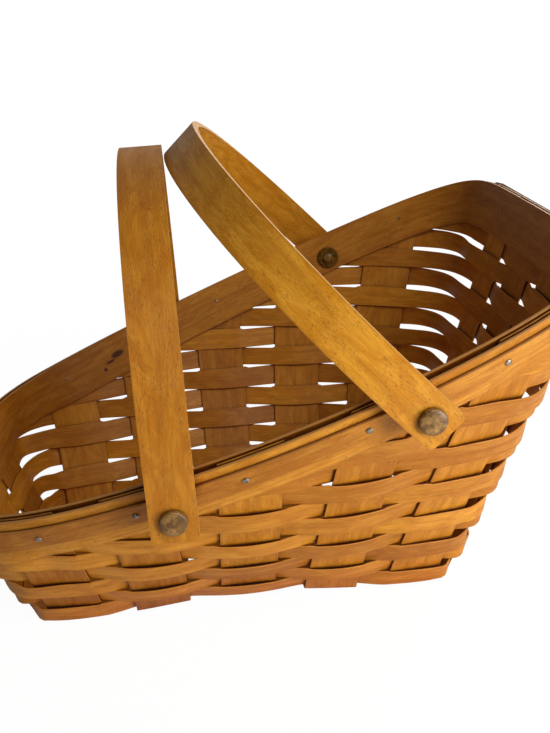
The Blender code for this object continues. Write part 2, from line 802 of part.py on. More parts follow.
def make_slat():
    """The flat slat across the outside of the deep end, leaning with the bands, with rounded corners."""
    drop = TRIM_DROP + TRIM_WIDTH / 2
    z = rim_height(0.0) - drop
    normal = wall_normal(0.0, z)
    rise = Vector((0.0, 1.0, 0.0)).cross(normal) * -1.0
    foot = on_wall(0.0, z, TRIM_OUTER_FACE + TACK_HEAD_HEIGHT + 2 * GAP)
    top = (rim_height(0.0) + SLAT_RISE - foot.z) / rise.z
    maker = bmesh.new()
    half = SLAT_LENGTH / 2
    corners = []
    for y, up in ((-half, top - SLAT_HEIGHT), (half, top - SLAT_HEIGHT), (half, top), (-half, top)):
        corners.append(maker.verts.new(foot + rise * up + Vector((0.0, y, 0.0))))
    maker.faces.new(corners)
    bmesh.ops.bevel(
        maker, geom=list(maker.verts), offset=SLAT_CORNER, segments=4, profile=0.5,
        affect="VERTICES", material=-1,
    )
    face = maker.faces[:][0]
    grown = bmesh.ops.extrude_face_region(maker, geom=[face])
    moved = [item for item in grown["geom"] if isinstance(item, bmesh.types.BMVert)]
    bmesh.ops.translate(maker, verts=moved, vec=normal * SLAT_THICK)
    slat = new_object("end_slat", maker, "maple_slat")
    for number, y in enumerate((-SLAT_TACK_SPACING / 2, SLAT_TACK_SPACING / 2)):
        seat = foot + normal * SLAT_THICK + Vector((0.0, y, 0.0))
        maker = turned(
            [(0.0, -SLAT_THICK), (TACK_SHANK_RADIUS, -SLAT_THICK)] + tack_profile()[2:], TACK_SIDES
        )
        place_along(maker, seat + normal * GAP, normal)
        new_object(f"slat_tack_{number + 1}", maker, "tack_steel")
        cutter = bore(
            f"slat_bore_{number + 1}", seat, normal, TACK_SHANK_RADIUS + GAP, SLAT_THICK * 3, TACK_SIDES
        )
        cut(slat, cutter)
    return slat


def centre_lengthwise():
    """Moves everything along X so that the origin is below the middle of the whole object."""
    bpy.context.view_layer.update()
    graph = bpy.context.evaluated_depsgraph_get()
    ends = []
    for item in bpy.data.objects:
        if not item.hide_render:
            made = item.evaluated_get(graph)
            ends += [(made.matrix_world @ Vector(corner)).x for corner in made.bound_box]
    middle = (min(ends) + max(ends)) / 2
    for item in bpy.data.objects:
        item.location.x -= middle


def main():
    for item in list(bpy.data.objects):
        bpy.data.objects.remove(item, do_unlink=True)
    for index in range(CROSS_COUNT):
        make_cross_splint(index)
    for index in range(LONG_COUNT):
        make_long_splint(index)
    weavers = [make_weaver(row) for row in range(ROW_COUNT)]
    angles = band_angles()
    inner_band = make_band("inner_band", -BAND_OFFSET, BAND_THICK, 0.0, BAND_DROP, angles, "maple_band")
    outer_band = make_band("outer_band", BAND_OFFSET, BAND_THICK, 0.0, BAND_DROP, angles, "maple_band")
    trim = make_band("trim_strip", TRIM_OFFSET, TRIM_THICK, TRIM_DROP, TRIM_WIDTH, angles, "maple_band")
    for name, seat, direction in tack_places():
        make_tack(name, seat, direction)
        cutter = bore(f"{name}_bore", seat, direction, TACK_SHANK_RADIUS + GAP, 0.012, TACK_SIDES)
        cut(outer_band, cutter)
        cut(trim, cutter)
    front, back = (Vector((x, 0.0, rim_top(x) - PIVOT_DROP)) for x in (FRONT_PIVOT_X, BACK_PIVOT_X))
    for name, pivot, tilt, fall in (
        ("front", front, FRONT_TILT, FRONT_FALL),
        ("back", back, resting_tilt(front, back), BACK_FALL),
    ):
        z = pivot.z
        half = swing_half(pivot, tilt, fall)
        handle = make_handle(f"{name}_handle", pivot, tilt, half)
        pierced = [handle, inner_band, outer_band, trim]
        for row, weaver in enumerate(weavers):
            low, high = row_heights(row)
            if low - WEAVE_OFFSET < z + RIVET_BORE_RADIUS and high + WEAVE_OFFSET > z - RIVET_BORE_RADIUS:
                pierced.append(weaver)
        for side in ("near", "far"):
            make_pivot(name, pivot, half, side, pierced)
    make_slat()
    centre_lengthwise()


main()
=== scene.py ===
"""Dresses the vegetable basket: woven splints, rim bands, bent handles, rivets, tacks and slat.

Everything is in metres. The basket's shapes are worked out in the frame of its base, whose origin
is below the middle of the base, and moved into the model's own frame when a piece is finished.
X runs from the shallow end to the deep end and the near side is -Y.
"""

import logging
import math
import random
from bisect import bisect_right
from dataclasses import dataclass
from enum import Enum
from typing import Callable, NamedTuple, Sequence

import bmesh
import bpy
from mathutils import Matrix, Vector

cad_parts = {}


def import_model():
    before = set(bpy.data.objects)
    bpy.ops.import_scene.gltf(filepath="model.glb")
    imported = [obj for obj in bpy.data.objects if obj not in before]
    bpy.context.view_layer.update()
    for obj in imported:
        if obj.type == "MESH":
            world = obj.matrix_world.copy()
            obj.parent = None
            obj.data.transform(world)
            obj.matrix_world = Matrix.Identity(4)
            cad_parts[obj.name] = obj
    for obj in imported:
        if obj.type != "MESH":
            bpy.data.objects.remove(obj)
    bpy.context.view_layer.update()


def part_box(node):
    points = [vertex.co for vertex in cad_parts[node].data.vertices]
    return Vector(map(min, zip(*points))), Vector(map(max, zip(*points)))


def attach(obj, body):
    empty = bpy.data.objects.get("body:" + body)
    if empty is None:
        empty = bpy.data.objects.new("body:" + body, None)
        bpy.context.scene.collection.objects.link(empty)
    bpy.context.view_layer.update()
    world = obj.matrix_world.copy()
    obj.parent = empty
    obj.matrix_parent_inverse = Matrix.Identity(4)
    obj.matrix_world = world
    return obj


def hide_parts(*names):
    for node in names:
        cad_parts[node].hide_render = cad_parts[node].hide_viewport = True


LOG = logging.getLogger("basket")
TURN = 2 * math.pi
MERGE = 1e-6
HALVINGS = 30
FRONT_RIVET_X = -0.0328

Socket = bpy.types.NodeSocket
Rows = list[list[Vector]]
Spot = tuple[Vector, Vector, float, float]


class Slot(Enum):
    """The record's material slots."""

    SPLINT = "maple_splint"
    BAND = "maple_band"
    HANDLE = "maple_handle"
    SLAT = "maple_slat"
    TACK = "tack_steel"
    RIVET = "rivet_head"
    WASHER = "washer_brass"


class Side(Enum):
    """The four walls, in the order that a strip of weaving meets them."""

    NEAR = "near"
    DEEP = "deep"
    FAR = "far"
    SHALLOW = "shallow"


class Sweep(NamedTuple):
    """A wall's range: the axis along it, the plan angles of its ends, and which way a shift counts."""

    axis: int
    low: float
    high: float
    sign: float


SWEEPS = {
    Side.NEAR: Sweep(0, -math.pi, 0.0, 1.0),
    Side.DEEP: Sweep(1, -math.pi / 2, math.pi / 2, 1.0),
    Side.FAR: Sweep(0, math.pi, 0.0, -1.0),
    Side.SHALLOW: Sweep(1, 1.5 * math.pi, 0.5 * math.pi, -1.0),
}


class Fade(NamedTuple):
    """A smooth change from a start, at a low value, to an end, at a high one."""

    low: float
    high: float
    start: float = 0.0
    end: float = 1.0


SPOT_FADE = Fade(0.45, 1.0, 1.0, 0.0)


class Grain(NamedTuple):
    """A noise of the wood: waves per metre along and across the strip, and how fine and warped it is."""

    along: float
    across: float
    detail: float
    roughness: float = 0.5
    distortion: float = 0.0


def colour(code: str) -> tuple[float, float, float, float]:
    """Turns an sRGB hex code into Blender's linear colour.

    Args:
        code: Six hex digits.

    Returns:
        Red, green, blue and an alpha of 1.
    """
    channels = [int(code[i : i + 2], 16) / 255 for i in (0, 2, 4)]
    linear = [c / 12.92 if c <= 0.04045 else ((c + 0.055) / 1.055) ** 2.4 for c in channels]
    return (*linear, 1.0)


def smooth(share: float) -> float:
    """Eases a share from 0 to 1, level at both ends."""
    share = min(max(share, 0.0), 1.0)
    return share * share * (3 - 2 * share)


def solve(low: float, high: float, holds: Callable[[float], bool]) -> float:
    """Finds where a test that holds at one end of a span stops holding.

    Args:
        low: The end where the test holds.
        high: The other end.
        holds: The test.

    Returns:
        The value between the two where it stops.
    """
    for _ in range(HALVINGS):
        middle = (low + high) / 2
        if holds(middle):
            low = middle
        else:
            high = middle
    return (low + high) / 2


def distances(points: Sequence[Vector]) -> list[float]:
    """Measures how far along a line of points each of them is.

    Args:
        points: The line's points.

    Returns:
        Each point's distance from the first one.
    """
    found = [0.0]
    for first, second in zip(points, points[1:]):
        found.append(found[-1] + (second - first).length)
    return found


def mesh_object(name: str, maker: bmesh.types.BMesh) -> bpy.types.Object:
    """Turns a bmesh into an object in the scene.

    Args:
        name: The object's name.
        maker: The bmesh, which is freed.

    Returns:
        The object.
    """
    mesh = bpy.data.meshes.new(name)
    maker.to_mesh(mesh)
    maker.free()
    made = bpy.data.objects.new(name, mesh)
    bpy.context.scene.collection.objects.link(made)
    return made


def soften(piece: bpy.types.Object, width: float, segments: int, degrees: float) -> None:
    """Rounds a piece's edges.

    Args:
        piece: The piece.
        width: How wide each edge's rounding is.
        segments: Its steps.
        degrees: The angle from which an edge is rounded.
    """
    soft = piece.modifiers.new("Rounded edges", "BEVEL")
    soft.width = width
    soft.segments = segments
    soft.limit_method = "ANGLE"
    soft.angle_limit = math.radians(degrees)
    soft.harden_normals = True


class Nodes:
    """A node tree, with a method for each kind of node that is used."""

    def __init__(self, tree: bpy.types.NodeTree) -> None:
        """Starts on a tree."""
        self.nodes = tree.nodes
        self.links = tree.links

    def put(self, socket: Socket, value: object) -> None:
        """Sets a socket to a constant, or links it to another socket.

        Args:
            socket: The input.
            value: A constant or an output socket.
        """
        if isinstance(value, Socket):
            self.links.new(value, socket)
        else:
            socket.default_value = value

    def add(self, kind: str, inputs: dict[str | int, object], **settings: object) -> bpy.types.Node:
        """Adds a node.

        Args:
            kind: Its type, without what all types start with.
            inputs: Constants or outputs of other nodes, by the input's name or number.
            settings: Its properties.

        Returns:
            The node.
        """
        node = self.nodes.new("ShaderNode" + kind)
        for name, value in settings.items():
            setattr(node, name, value)
        for name, value in inputs.items():
            self.put(node.inputs[name], value)
        return node

    def place(self, layer: str = "") -> Socket:
        """Reads a UV layer of a strip, or the place on the object.

        Args:
            layer: The UV layer. Without one, the place on the object is read.

        Returns:
            The coordinates.
        """
        if layer:
            return self.add("UVMap", {}, uv_map=layer).outputs["UV"]
        return self.add("TexCoord", {}).outputs["Object"]

    def scaled(self, source: Socket, scale: tuple[float, float, float]) -> Socket:
        """Puts a Mapping node after a vector."""
        return self.add("Mapping", {"Vector": source, "Scale": scale}).outputs["Vector"]

    def noise(
        self, vector: Socket, scale: float, detail: float, roughness: float = 0.5, distortion: float = 0.0
    ) -> Socket:
        """Adds a noise texture.

        Args:
            vector: Where it is read.
            scale: Its scale on that vector.
            detail: Octaves.
            roughness: How strong the finer octaves are.
            distortion: How far it is warped.

        Returns:
            The noise's value.
        """
        values = {"Scale": scale, "Detail": detail, "Roughness": roughness, "Distortion": distortion}
        return self.add("TexNoise", {"Vector": vector, **values}).outputs["Fac"]

    def grain(self, place: Socket, grain: Grain) -> Socket:
        """Adds a noise that is stretched along the strip."""
        vector = self.scaled(place, (grain.along, grain.across, 1.0))
        return self.noise(vector, 1.0, grain.detail, grain.roughness, grain.distortion)

    def span(self, value: Socket, fade: Fade) -> Socket:
        """Maps a value smoothly.

        Args:
            value: The value.
            fade: What it is mapped from and to.

        Returns:
            The mapped value.
        """
        ends = {"From Min": fade.low, "From Max": fade.high, "To Min": fade.start, "To Max": fade.end}
        node = self.add("MapRange", {"Value": value, **ends}, interpolation_type="SMOOTHSTEP")
        return node.outputs["Result"]

    def math(self, operation: str, first: object, second: object) -> Socket:
        """Adds a Math node on two values."""
        return self.add("Math", {0: first, 1: second}, operation=operation).outputs["Value"]

    def mix(self, share: object, first: object, second: object, mode: str = "MIX") -> Socket:
        """Mixes two colours.

        Args:
            share: How much of the second.
            first: A colour or an output.
            second: A colour or an output.
            mode: The blend type.

        Returns:
            The mixed colour.
        """
        inputs = {"Factor": share, 6: first, 7: second}
        return self.add("Mix", inputs, data_type="RGBA", blend_type=mode).outputs[2]

    def length(self, vector: Socket) -> Socket:
        """Measures a vector."""
        return self.add("VectorMath", {0: vector}, operation="LENGTH").outputs["Value"]

    def spot(self, place: Vector, along: Vector, length: float, width: float) -> Socket:
        """A long soft spot on the object: 1 in its middle, 0 from its edge on.

        Args:
            place: Its middle.
            along: The direction in which it is long.
            length: Its half length.
            width: Its half width.

        Returns:
            The spot's strength.
        """
        turn = along.to_track_quat("X", "Z").to_euler()
        size = (length, width, width)
        inputs = {"Vector": self.place(), "Location": place, "Rotation": turn, "Scale": size}
        mapping = self.add("Mapping", inputs, vector_type="TEXTURE")
        return self.span(self.length(mapping.outputs["Vector"]), SPOT_FADE)


class Graph(Nodes):
    """A material's node tree."""

    def __init__(self, name: str) -> None:
        """Starts a material.

        Args:
            name: The material's name.
        """
        self.material = bpy.data.materials.new(name)
        self.material.use_nodes = True
        super().__init__(self.material.node_tree)
        self.shader = self.nodes["Principled BSDF"]

    def bump(self, height: Socket, distance: float, strength: float) -> None:
        """Presses a height into the surface.

        Args:
            height: The height, 0 to 1.
            distance: What a height of 1 is, in metres.
            strength: The node's strength.
        """
        node = self.add("Bump", {"Strength": strength, "Distance": distance, "Height": height})
        self.put(self.shader.inputs["Normal"], node.outputs["Normal"])

    def openness(self, distance: float) -> Socket:
        """How open the surface is: 0 in a tight crevice, 1 where nothing is within the distance."""
        return self.add("AmbientOcclusion", {"Distance": distance}, samples=6).outputs["AO"]

    def finish(
        self, base: object, roughness: object, metallic: float = 0.0, gloss: float = 0.5
    ) -> bpy.types.Material:
        """Sets the shader's main values.

        Args:
            base: Base colour.
            roughness: Roughness.
            metallic: Metallic value.
            gloss: Strength of the reflection.

        Returns:
            The material.
        """
        self.put(self.shader.inputs["Base Color"], base)
        self.put(self.shader.inputs["Roughness"], roughness)
        self.shader.inputs["Metallic"].default_value = metallic
        self.shader.inputs["Specular IOR Level"].default_value = gloss
        return self.material


@dataclass(frozen=True)
class Maple:
    """Stained maple: grain, short dark flecks along the strip and a tone of its own on each strip, plus
    painted shade in crevices, in hollows and at the strips' edges.
    """

    name: str
    pale: str
    body: str
    deep: str
    fleck: str
    edge: str
    streak: float = 1.0
    fleck_share: float = 0.60
    roughness: float = 0.42
    relief: float = 0.5
    gloss: float = 0.30
    knots: tuple[Spot, ...] = ()
    # Dark colour of the knots, and also of the painted shade in narrow crevices.
    knot_and_crevice_shade: str = "3A0E03"
    # Tint multiplied in as painted shade where the surface is enclosed, as deep in the basket.
    shade: str = "DEB07A"
    dark_tone: str = "D9CDBE"
    light_tone: str = "FFFFFF"
    tone: Grain = Grain(2.0, 3.0, 1.0)
    cloud: Grain = Grain(48.0, 120.0, 4.0, 0.62, 1.2)
    broad: Grain = Grain(10.0, 260.0, 3.0, 0.6, 0.5)
    fine: Grain = Grain(90.0, 1500.0, 3.0, 0.65)
    dash: Grain = Grain(520.0, 1900.0, 2.0, 0.6, 0.6)
    patch: Grain = Grain(55.0, 110.0, 2.0, 0.5)
    body_fade: Fade = Fade(0.36, 0.64)
    broad_fade: Fade = Fade(0.30, 0.62, 0.38, 0.0)
    fine_fade: Fade = Fade(0.34, 0.60, 0.32, 0.0)
    patch_fade: Fade = Fade(0.34, 0.54)
    # Painted shade: each strip darkens toward its long edges, where the rows meet.
    edge_shade_fade: Fade = Fade(0.86, 0.985, 0.0, 0.28)
    on_edge: Fade = Fade(0.990, 0.998, 0.0, 0.8)
    # Painted shade where the surface is enclosed, as deep in the basket.
    inside: Fade = Fade(0.10, 0.62, 1.0, 0.0)
    # Painted shade in narrow crevices between strips.
    crevice: Fade = Fade(0.12, 0.85, 0.85, 0.0)
    hollow_shade_reach: float = 0.075
    crevice_shade_reach: float = 0.005
    fleck_width: float = 0.10
    fleck_strength: float = 0.55
    knot_strength: float = 0.93
    relief_depth: float = 0.00012
    fine_height: float = 0.7
    fleck_depth: float = 0.5
    sheen: Fade = Fade(0.3, 0.7, 0.08, -0.04)

    def make(self) -> bpy.types.Material:
        """Builds the material from the strip's Grain and Span layers.

        Returns:
            The material.
        """
        graph = Graph(self.name)
        place = graph.place("Grain")
        noises = (self.tone, self.cloud, self.fine, self.dash, self.patch)
        tone, cloud, fine, dash, patch = (graph.grain(place, grain) for grain in noises)
        broad = graph.grain(place, self.broad._replace(across=self.broad.across * self.streak))
        dashes = graph.span(dash, Fade(self.fleck_share, self.fleck_share + self.fleck_width))
        flecks = graph.math("MULTIPLY", dashes, graph.span(patch, self.patch_fade))
        deep = colour(self.deep)
        wood = graph.mix(graph.span(cloud, self.body_fade), colour(self.body), colour(self.pale))
        wood = graph.mix(graph.span(broad, self.broad_fade), wood, deep)
        wood = graph.mix(graph.span(fine, self.fine_fade), wood, deep)
        wood = graph.mix(graph.math("MULTIPLY", flecks, self.fleck_strength), wood, colour(self.fleck))
        own = graph.mix(graph.span(tone, self.body_fade), colour(self.dark_tone), colour(self.light_tone))
        wood = graph.mix(1.0, wood, own, "MULTIPLY")
        for knot in self.knots:
            strength = graph.math("MULTIPLY", graph.spot(*knot), self.knot_strength)
            wood = graph.mix(strength, wood, colour(self.knot_and_crevice_shade))
        across = self.across(graph)
        # Painted shade toward each strip's long edges.
        wood = graph.mix(graph.span(across, self.edge_shade_fade), wood, deep)
        wood = graph.mix(graph.span(across, self.on_edge), wood, colour(self.edge))
        # Painted shade where the surface is enclosed, as deep in the basket.
        shaded = graph.mix(1.0, wood, colour(self.shade), "MULTIPLY")
        wood = graph.mix(graph.span(graph.openness(self.hollow_shade_reach), self.inside), wood, shaded)
        # Painted shade in narrow crevices, in the knots' dark colour.
        narrow = graph.span(graph.openness(self.crevice_shade_reach), self.crevice)
        wood = graph.mix(narrow, wood, colour(self.knot_and_crevice_shade))
        raised = graph.math("MULTIPLY", fine, self.fine_height)
        sunk = graph.math("MULTIPLY", flecks, self.fleck_depth)
        graph.bump(graph.math("SUBTRACT", raised, sunk), self.relief_depth, self.relief)
        low, high, duller, smoother = self.sheen
        sheen = Fade(low, high, self.roughness + duller, self.roughness + smoother)
        return graph.finish(wood, graph.span(broad, sheen), gloss=self.gloss)

    def across(self, graph: Graph) -> Socket:
        """Measures how far the surface is from the strip's middle line.

        Args:
            graph: The material's node tree.

        Returns:
            0 on the middle line, 1 on the edges.
        """
        split = graph.add("SeparateXYZ", {"Vector": graph.place("Span")})
        centred = graph.math("SUBTRACT", split.outputs["Y"], 0.5)
        return graph.math("MULTIPLY", graph.math("ABSOLUTE", centred, 0.0), 2.0)


@dataclass(frozen=True)
class OldMetal:
    """Dull metal with darker tarnish in patches."""

    name: str
    clean: str
    tarnish: str
    roughness: float
    dulling: float = 0.25
    patch: Fade = Fade(0.40, 0.64)
    patch_scale: float = 420.0
    scratch_scale: float = 2600.0
    scratch_depth: float = 0.00006

    def make(self) -> bpy.types.Material:
        """Builds the material from the place on the object.

        Returns:
            The material.
        """
        graph = Graph(self.name)
        place = graph.place()
        patches = graph.span(graph.noise(place, self.patch_scale, detail=4.0, roughness=0.6), self.patch)
        base = graph.mix(patches, colour(self.clean), colour(self.tarnish))
        scratches = graph.noise(place, self.scratch_scale, detail=2.0)
        graph.bump(scratches, self.scratch_depth, strength=0.5)
        rough = graph.span(patches, Fade(0.0, 1.0, self.roughness, self.roughness + self.dulling))
        return graph.finish(base, rough, metallic=1.0)


@dataclass(frozen=True)
class PegHead:
    """The rivets' worn brown heads, mottled and a little glossy."""

    name: str
    pale: str
    body: str
    dark: str
    mottle_scale: float = 260.0
    grain_scale: float = 520.0
    dark_fade: Fade = Fade(0.36, 0.56)
    pale_fade: Fade = Fade(0.52, 0.72)
    grain_fade: Fade = Fade(0.35, 0.65, 0.35, 0.0)
    gloss_fade: Fade = Fade(0.3, 0.7, 0.42, 0.30)
    grain_depth: float = 0.00008

    def make(self) -> bpy.types.Material:
        """Builds the material from the place on the object.

        Returns:
            The material.
        """
        graph = Graph(self.name)
        place = graph.place()
        mottle = graph.noise(place, self.mottle_scale, detail=3.0, roughness=0.6, distortion=0.8)
        flattened = graph.scaled(place, (1.0, 1.0, 5.0))
        grain = graph.noise(flattened, self.grain_scale, detail=2.0, roughness=0.6)
        base = graph.mix(graph.span(mottle, self.dark_fade), colour(self.dark), colour(self.body))
        base = graph.mix(graph.span(mottle, self.pale_fade), base, colour(self.pale))
        base = graph.mix(graph.span(grain, self.grain_fade), base, colour(self.dark))
        graph.bump(grain, self.grain_depth, strength=0.6)
        return graph.finish(base, graph.span(mottle, self.gloss_fade))


class Finishes:
    """The object's finishes, each made once and shared by the pieces that wear it."""

    def __init__(self, knots: tuple[Spot, ...]) -> None:
        """Makes every finish.

        Args:
            knots: The bands' knots, each as its middle, direction, half length and half width.
        """
        splint = Maple("maple splint", "E09A2C", "CC8218", "A05E0C", "5F2C08", "CA8A3C")
        band = Maple(
            "maple band", "E09C34", "CC841C", "9A5A0E", "5A2A08", "C48C50",
            streak=1.4, fleck_share=0.58, knots=knots,
        )
        handle = Maple(
            "maple handle", "EAA632", "D68C1A", "AC6C0E", "8E5212", "D29A48",
            streak=0.6, fleck_share=0.54, roughness=0.38,
        )
        slat = Maple(
            "maple slat", "866034", "765228", "62421C", "4C3014", "5E4426",
            streak=0.5, fleck_share=0.9, roughness=0.85, relief=0.0, gloss=0.04,
        )
        self.by_slot = {
            Slot.SPLINT: splint.make(),
            Slot.BAND: band.make(),
            Slot.HANDLE: handle.make(),
            Slot.SLAT: slat.make(),
            Slot.TACK: OldMetal("tack steel", "A8A094", "5A5248", 0.36).make(),
            Slot.RIVET: PegHead("rivet head", "B48C50", "8C6630", "5C3E14").make(),
            Slot.WASHER: OldMetal("washer brass", "6E4C1C", "4E3412", 0.42).make(),
        }

    def dress(self, piece: bpy.types.Object, slot: Slot) -> None:
        """Gives a piece the finish of its slot.

        Args:
            piece: The piece.
            slot: Its slot.
        """
        piece.data.materials.clear()
        piece.data.materials.append(self.by_slot[slot])


@dataclass(frozen=True)
class Wall:
    """The basket's wall: a rounded rectangle that widens from the base to the slanted rim.

    The shift is how far the model's frame lies from the base's, along X.
    """

    shift: float
    base_shallow: float = 0.112
    base_deep: float = 0.115
    base_half_width: float = 0.0515
    base_corner_power: float = 13.0
    base_arch: float = 0.006
    base_arch_half_length: float = 0.075
    base_arch_fade: float = 0.060
    rim_shallow: float = 0.138
    rim_deep: float = 0.166
    rim_shallow_bow: float = 0.006
    rim_deep_bow: float = 0.0015
    rim_half_width: float = 0.1135
    rim_widest_x: float = 0.050
    rim_taper: float = 1.12
    rim_shallow_power: float = 6.6
    rim_deep_power: float = 7.8
    height: float = 0.1299
    slope: float = 0.3775
    dip: float = 0.0034
    dip_half_length: float = 0.150
    side_bulge: float = 0.30
    end_bulge: float = 0.06
    rim_out: float = 0.0013
    corner_start: float = 0.70
    corner_full: float = 0.92
    corner_hold: float = 0.55
    corner_fade: float = 0.045
    band_height: float = 0.0258
    probe: float = 1e-3

    def outline(self, angle: float, power: float) -> tuple[float, float]:
        """A point of a rounded square of half width 1.

        Args:
            angle: Plan angle.
            power: How square it is.

        Returns:
            The point's x and y.
        """
        across, along = math.cos(angle), math.sin(angle)
        size = (abs(across) ** power + abs(along) ** power) ** (-1 / power)
        return across * size, along * size

    def base_point(self, angle: float) -> tuple[float, float]:
        """Place of the base's outline at a plan angle."""
        x, y = self.outline(angle, self.base_corner_power)
        return x * (self.base_deep if x > 0 else self.base_shallow), y * self.base_half_width

    def rim_point(self, angle: float) -> tuple[float, float]:
        """Place of the rim's outline.

        Args:
            angle: Plan angle.

        Returns:
            The place's x and y.
        """
        length, bow, power = self.rim_shallow, self.rim_shallow_bow, self.rim_shallow_power
        if math.cos(angle) > 0:
            length, bow, power = self.rim_deep, self.rim_deep_bow, self.rim_deep_power
        x, y = self.outline(angle, power)
        x *= length + bow * (1 - y**2)
        return x, y * (self.rim_half_width - self.rim_taper * (x - self.rim_widest_x) ** 2)

    def top_at(self, x: float) -> float:
        """Height of the rim's top along the basket."""
        return self.height + self.slope * x - self.dip * (1 - (x / self.dip_half_length) ** 2)

    def top(self, angle: float) -> float:
        """Height of the rim's top at a plan angle."""
        return self.top_at(self.rim_point(angle)[0])

    def corner(self, angle: float) -> float:
        """How far into a corner a plan angle is: 0 on a side, 1 in the corner."""
        across, along = sorted((abs(math.cos(angle)), abs(math.sin(angle))))
        return smooth((across / along - self.corner_start) / (self.corner_full - self.corner_start))

    def at(self, angle: float, z: float) -> Vector:
        """Middle of the wall. In the corners the stiff bands stand steeper than the wall below them.

        Args:
            angle: Plan angle.
            z: Height.

        Returns:
            The point.
        """
        base = self.base_point(angle)
        rim = self.rim_point(angle)
        top = self.top_at(rim[0])
        depth = max(top - z, 0.0)
        held = min(depth, self.band_height) * (1 - smooth((depth - self.band_height) / self.corner_fade))
        rise = (z + self.corner_hold * self.corner(angle) * held) / top
        x = base[0] + (rim[0] - base[0]) * rise * (1 + self.end_bulge * (1 - rise))
        y = base[1] + (rim[1] - base[1]) * rise * (1 + self.side_bulge * (1 - rise))
        return Vector((x, y, z))

    def normal(self, angle: float, z: float) -> Vector:
        """Normal of the wall, pointing out of the basket.

        Args:
            angle: Plan angle.
            z: Height.

        Returns:
            The normal, of length 1.
        """
        step = self.probe
        along = self.at(angle + step, z) - self.at(angle - step, z)
        rise = self.at(angle, z + step) - self.at(angle, z - step)
        return along.cross(rise).normalized()

    def on(self, angle: float, z: float, offset: float = 0.0) -> Vector:
        """A point out from the wall, whose own middle moves out a little toward the rim."""
        rise = min(z / self.top(angle), 1.0)
        return self.at(angle, z) + self.normal(angle, z) * (offset + self.rim_out * rise)

    def lifted(self, point: Vector) -> Vector:
        """Raises a point by the arch of the base, which fades out up the wall.

        Args:
            point: A point of a splint or of the weaving.

        Returns:
            The raised point.
        """
        reach = min(abs(point.x) / self.base_arch_half_length, 1.0)
        fade = max(0.0, 1 - point.z / self.base_arch_fade)
        return point + Vector((0.0, 0.0, self.base_arch * math.cos(reach * math.pi / 2) ** 2 * fade))

    def angle_at(self, side: Side, target: float, z: float) -> float:
        """Finds the plan angle at which a wall reaches a place along it.

        Args:
            side: The wall.
            target: The place's x on a long wall, or its y on an end wall.
            z: Height.

        Returns:
            The plan angle.
        """
        axis, low, high, _ = SWEEPS[side]
        rising = self.at(high, z)[axis] > self.at(low, z)[axis]
        return solve(low, high, lambda angle: (self.at(angle, z)[axis] < target) == rising)


class Round:
    """The way round the wall at some height, measured so that it can be walked in even steps."""

    def __init__(self, wall: Wall, samples: int, height: Callable[[float], float]) -> None:
        """Measures the way.

        Args:
            wall: The wall.
            samples: Number of steps that are measured.
            height: Height at each plan angle.
        """
        self.samples = samples
        self.angles = [-math.pi + TURN * i / samples for i in range(samples + 1)]
        self.lengths = distances([wall.at(angle, height(angle)) for angle in self.angles])
        self.total = self.lengths[-1]

    def angle(self, at: float) -> float:
        """Finds the plan angle at a distance round the wall.

        Args:
            at: The distance.

        Returns:
            The plan angle.
        """
        lengths, angles = self.lengths, self.angles
        low = min(bisect_right(lengths, at) - 1, self.samples - 1)
        part = (at - lengths[low]) / (lengths[low + 1] - lengths[low])
        return angles[low] + (angles[low + 1] - angles[low]) * part

    def distance(self, angle: float) -> float:
        """Finds how far round the wall a plan angle is.

        Args:
            angle: The plan angle.

        Returns:
            The distance.
        """
        share = (angle + math.pi) / TURN % 1.0 * self.samples
        low = int(share)
        return self.lengths[low] + (self.lengths[low + 1] - self.lengths[low]) * (share - low)


@dataclass(frozen=True)
class Uprights:
    """Where the splints stand in the walls."""

    wall: Wall
    thick: float = 0.0009
    top_drop: float = 0.0004
    cross_count: int = 5
    cross_width: float = 0.0286
    cross_spacing: float = 0.045
    cross_middle: float = 0.0014
    cross_fan: float = 0.144
    cross_fan_height: float = 0.100
    cross_fan_power: float = 1.6
    long_count: int = 3
    long_width: float = 0.0254
    long_spacing: float = 0.0325
    long_fan: float = 0.10
    long_fan_height: float = 0.100

    def cross_x(self, index: int, z: float) -> float:
        """Middle of a crosswise splint where it stands in a long wall."""
        fan = 1 + self.cross_fan * (max(z, 0.0) / self.cross_fan_height) ** self.cross_fan_power
        return self.cross_middle + (index - (self.cross_count - 1) / 2) * self.cross_spacing * fan

    def long_y(self, index: int, z: float) -> float:
        """Middle of a lengthwise splint where it stands in an end wall."""
        fan = 1 + self.long_fan * max(z, 0.0) / self.long_fan_height
        return (index - (self.long_count - 1) / 2) * self.long_spacing * fan

    def half_width(self, side: Side) -> float:
        """Half width of the splints of a wall."""
        return (self.long_width if SWEEPS[side].axis else self.cross_width) / 2

    def angle(self, side: Side, index: int, z: float, shift: float = 0.0) -> float:
        """Finds where an upright stands.

        Args:
            side: Its wall.
            index: Its number.
            z: Height.
            shift: Distance along the wall from its middle line.

        Returns:
            The plan angle.
        """
        sweep = SWEEPS[side]
        middle = self.long_y(index, z) if sweep.axis else self.cross_x(index, z)
        return self.wall.angle_at(side, middle + sweep.sign * shift, z)

    def rim_angle(self, side: Side, index: int, shift: float = 0.0) -> float:
        """Finds where an upright reaches the rim's top.

        Args:
            side: Its wall.
            index: Its number.
            shift: Distance along the wall from its middle line.

        Returns:
            The plan angle.
        """
        z = self.wall.height
        for _ in range(4):
            angle = self.angle(side, index, z, shift)
            z = self.wall.top(angle)
        return angle

    def in_order(self) -> list[tuple[Side, int]]:
        """Puts the uprights in the order that a strip of weaving meets them.

        Returns:
            Each upright's wall and number.
        """
        cross, long = range(self.cross_count), range(self.long_count)
        order = [(Side.NEAR, i) for i in cross] + [(Side.DEEP, i) for i in long]
        return order + [(Side.FAR, i) for i in reversed(cross)] + [(Side.SHALLOW, i) for i in reversed(long)]


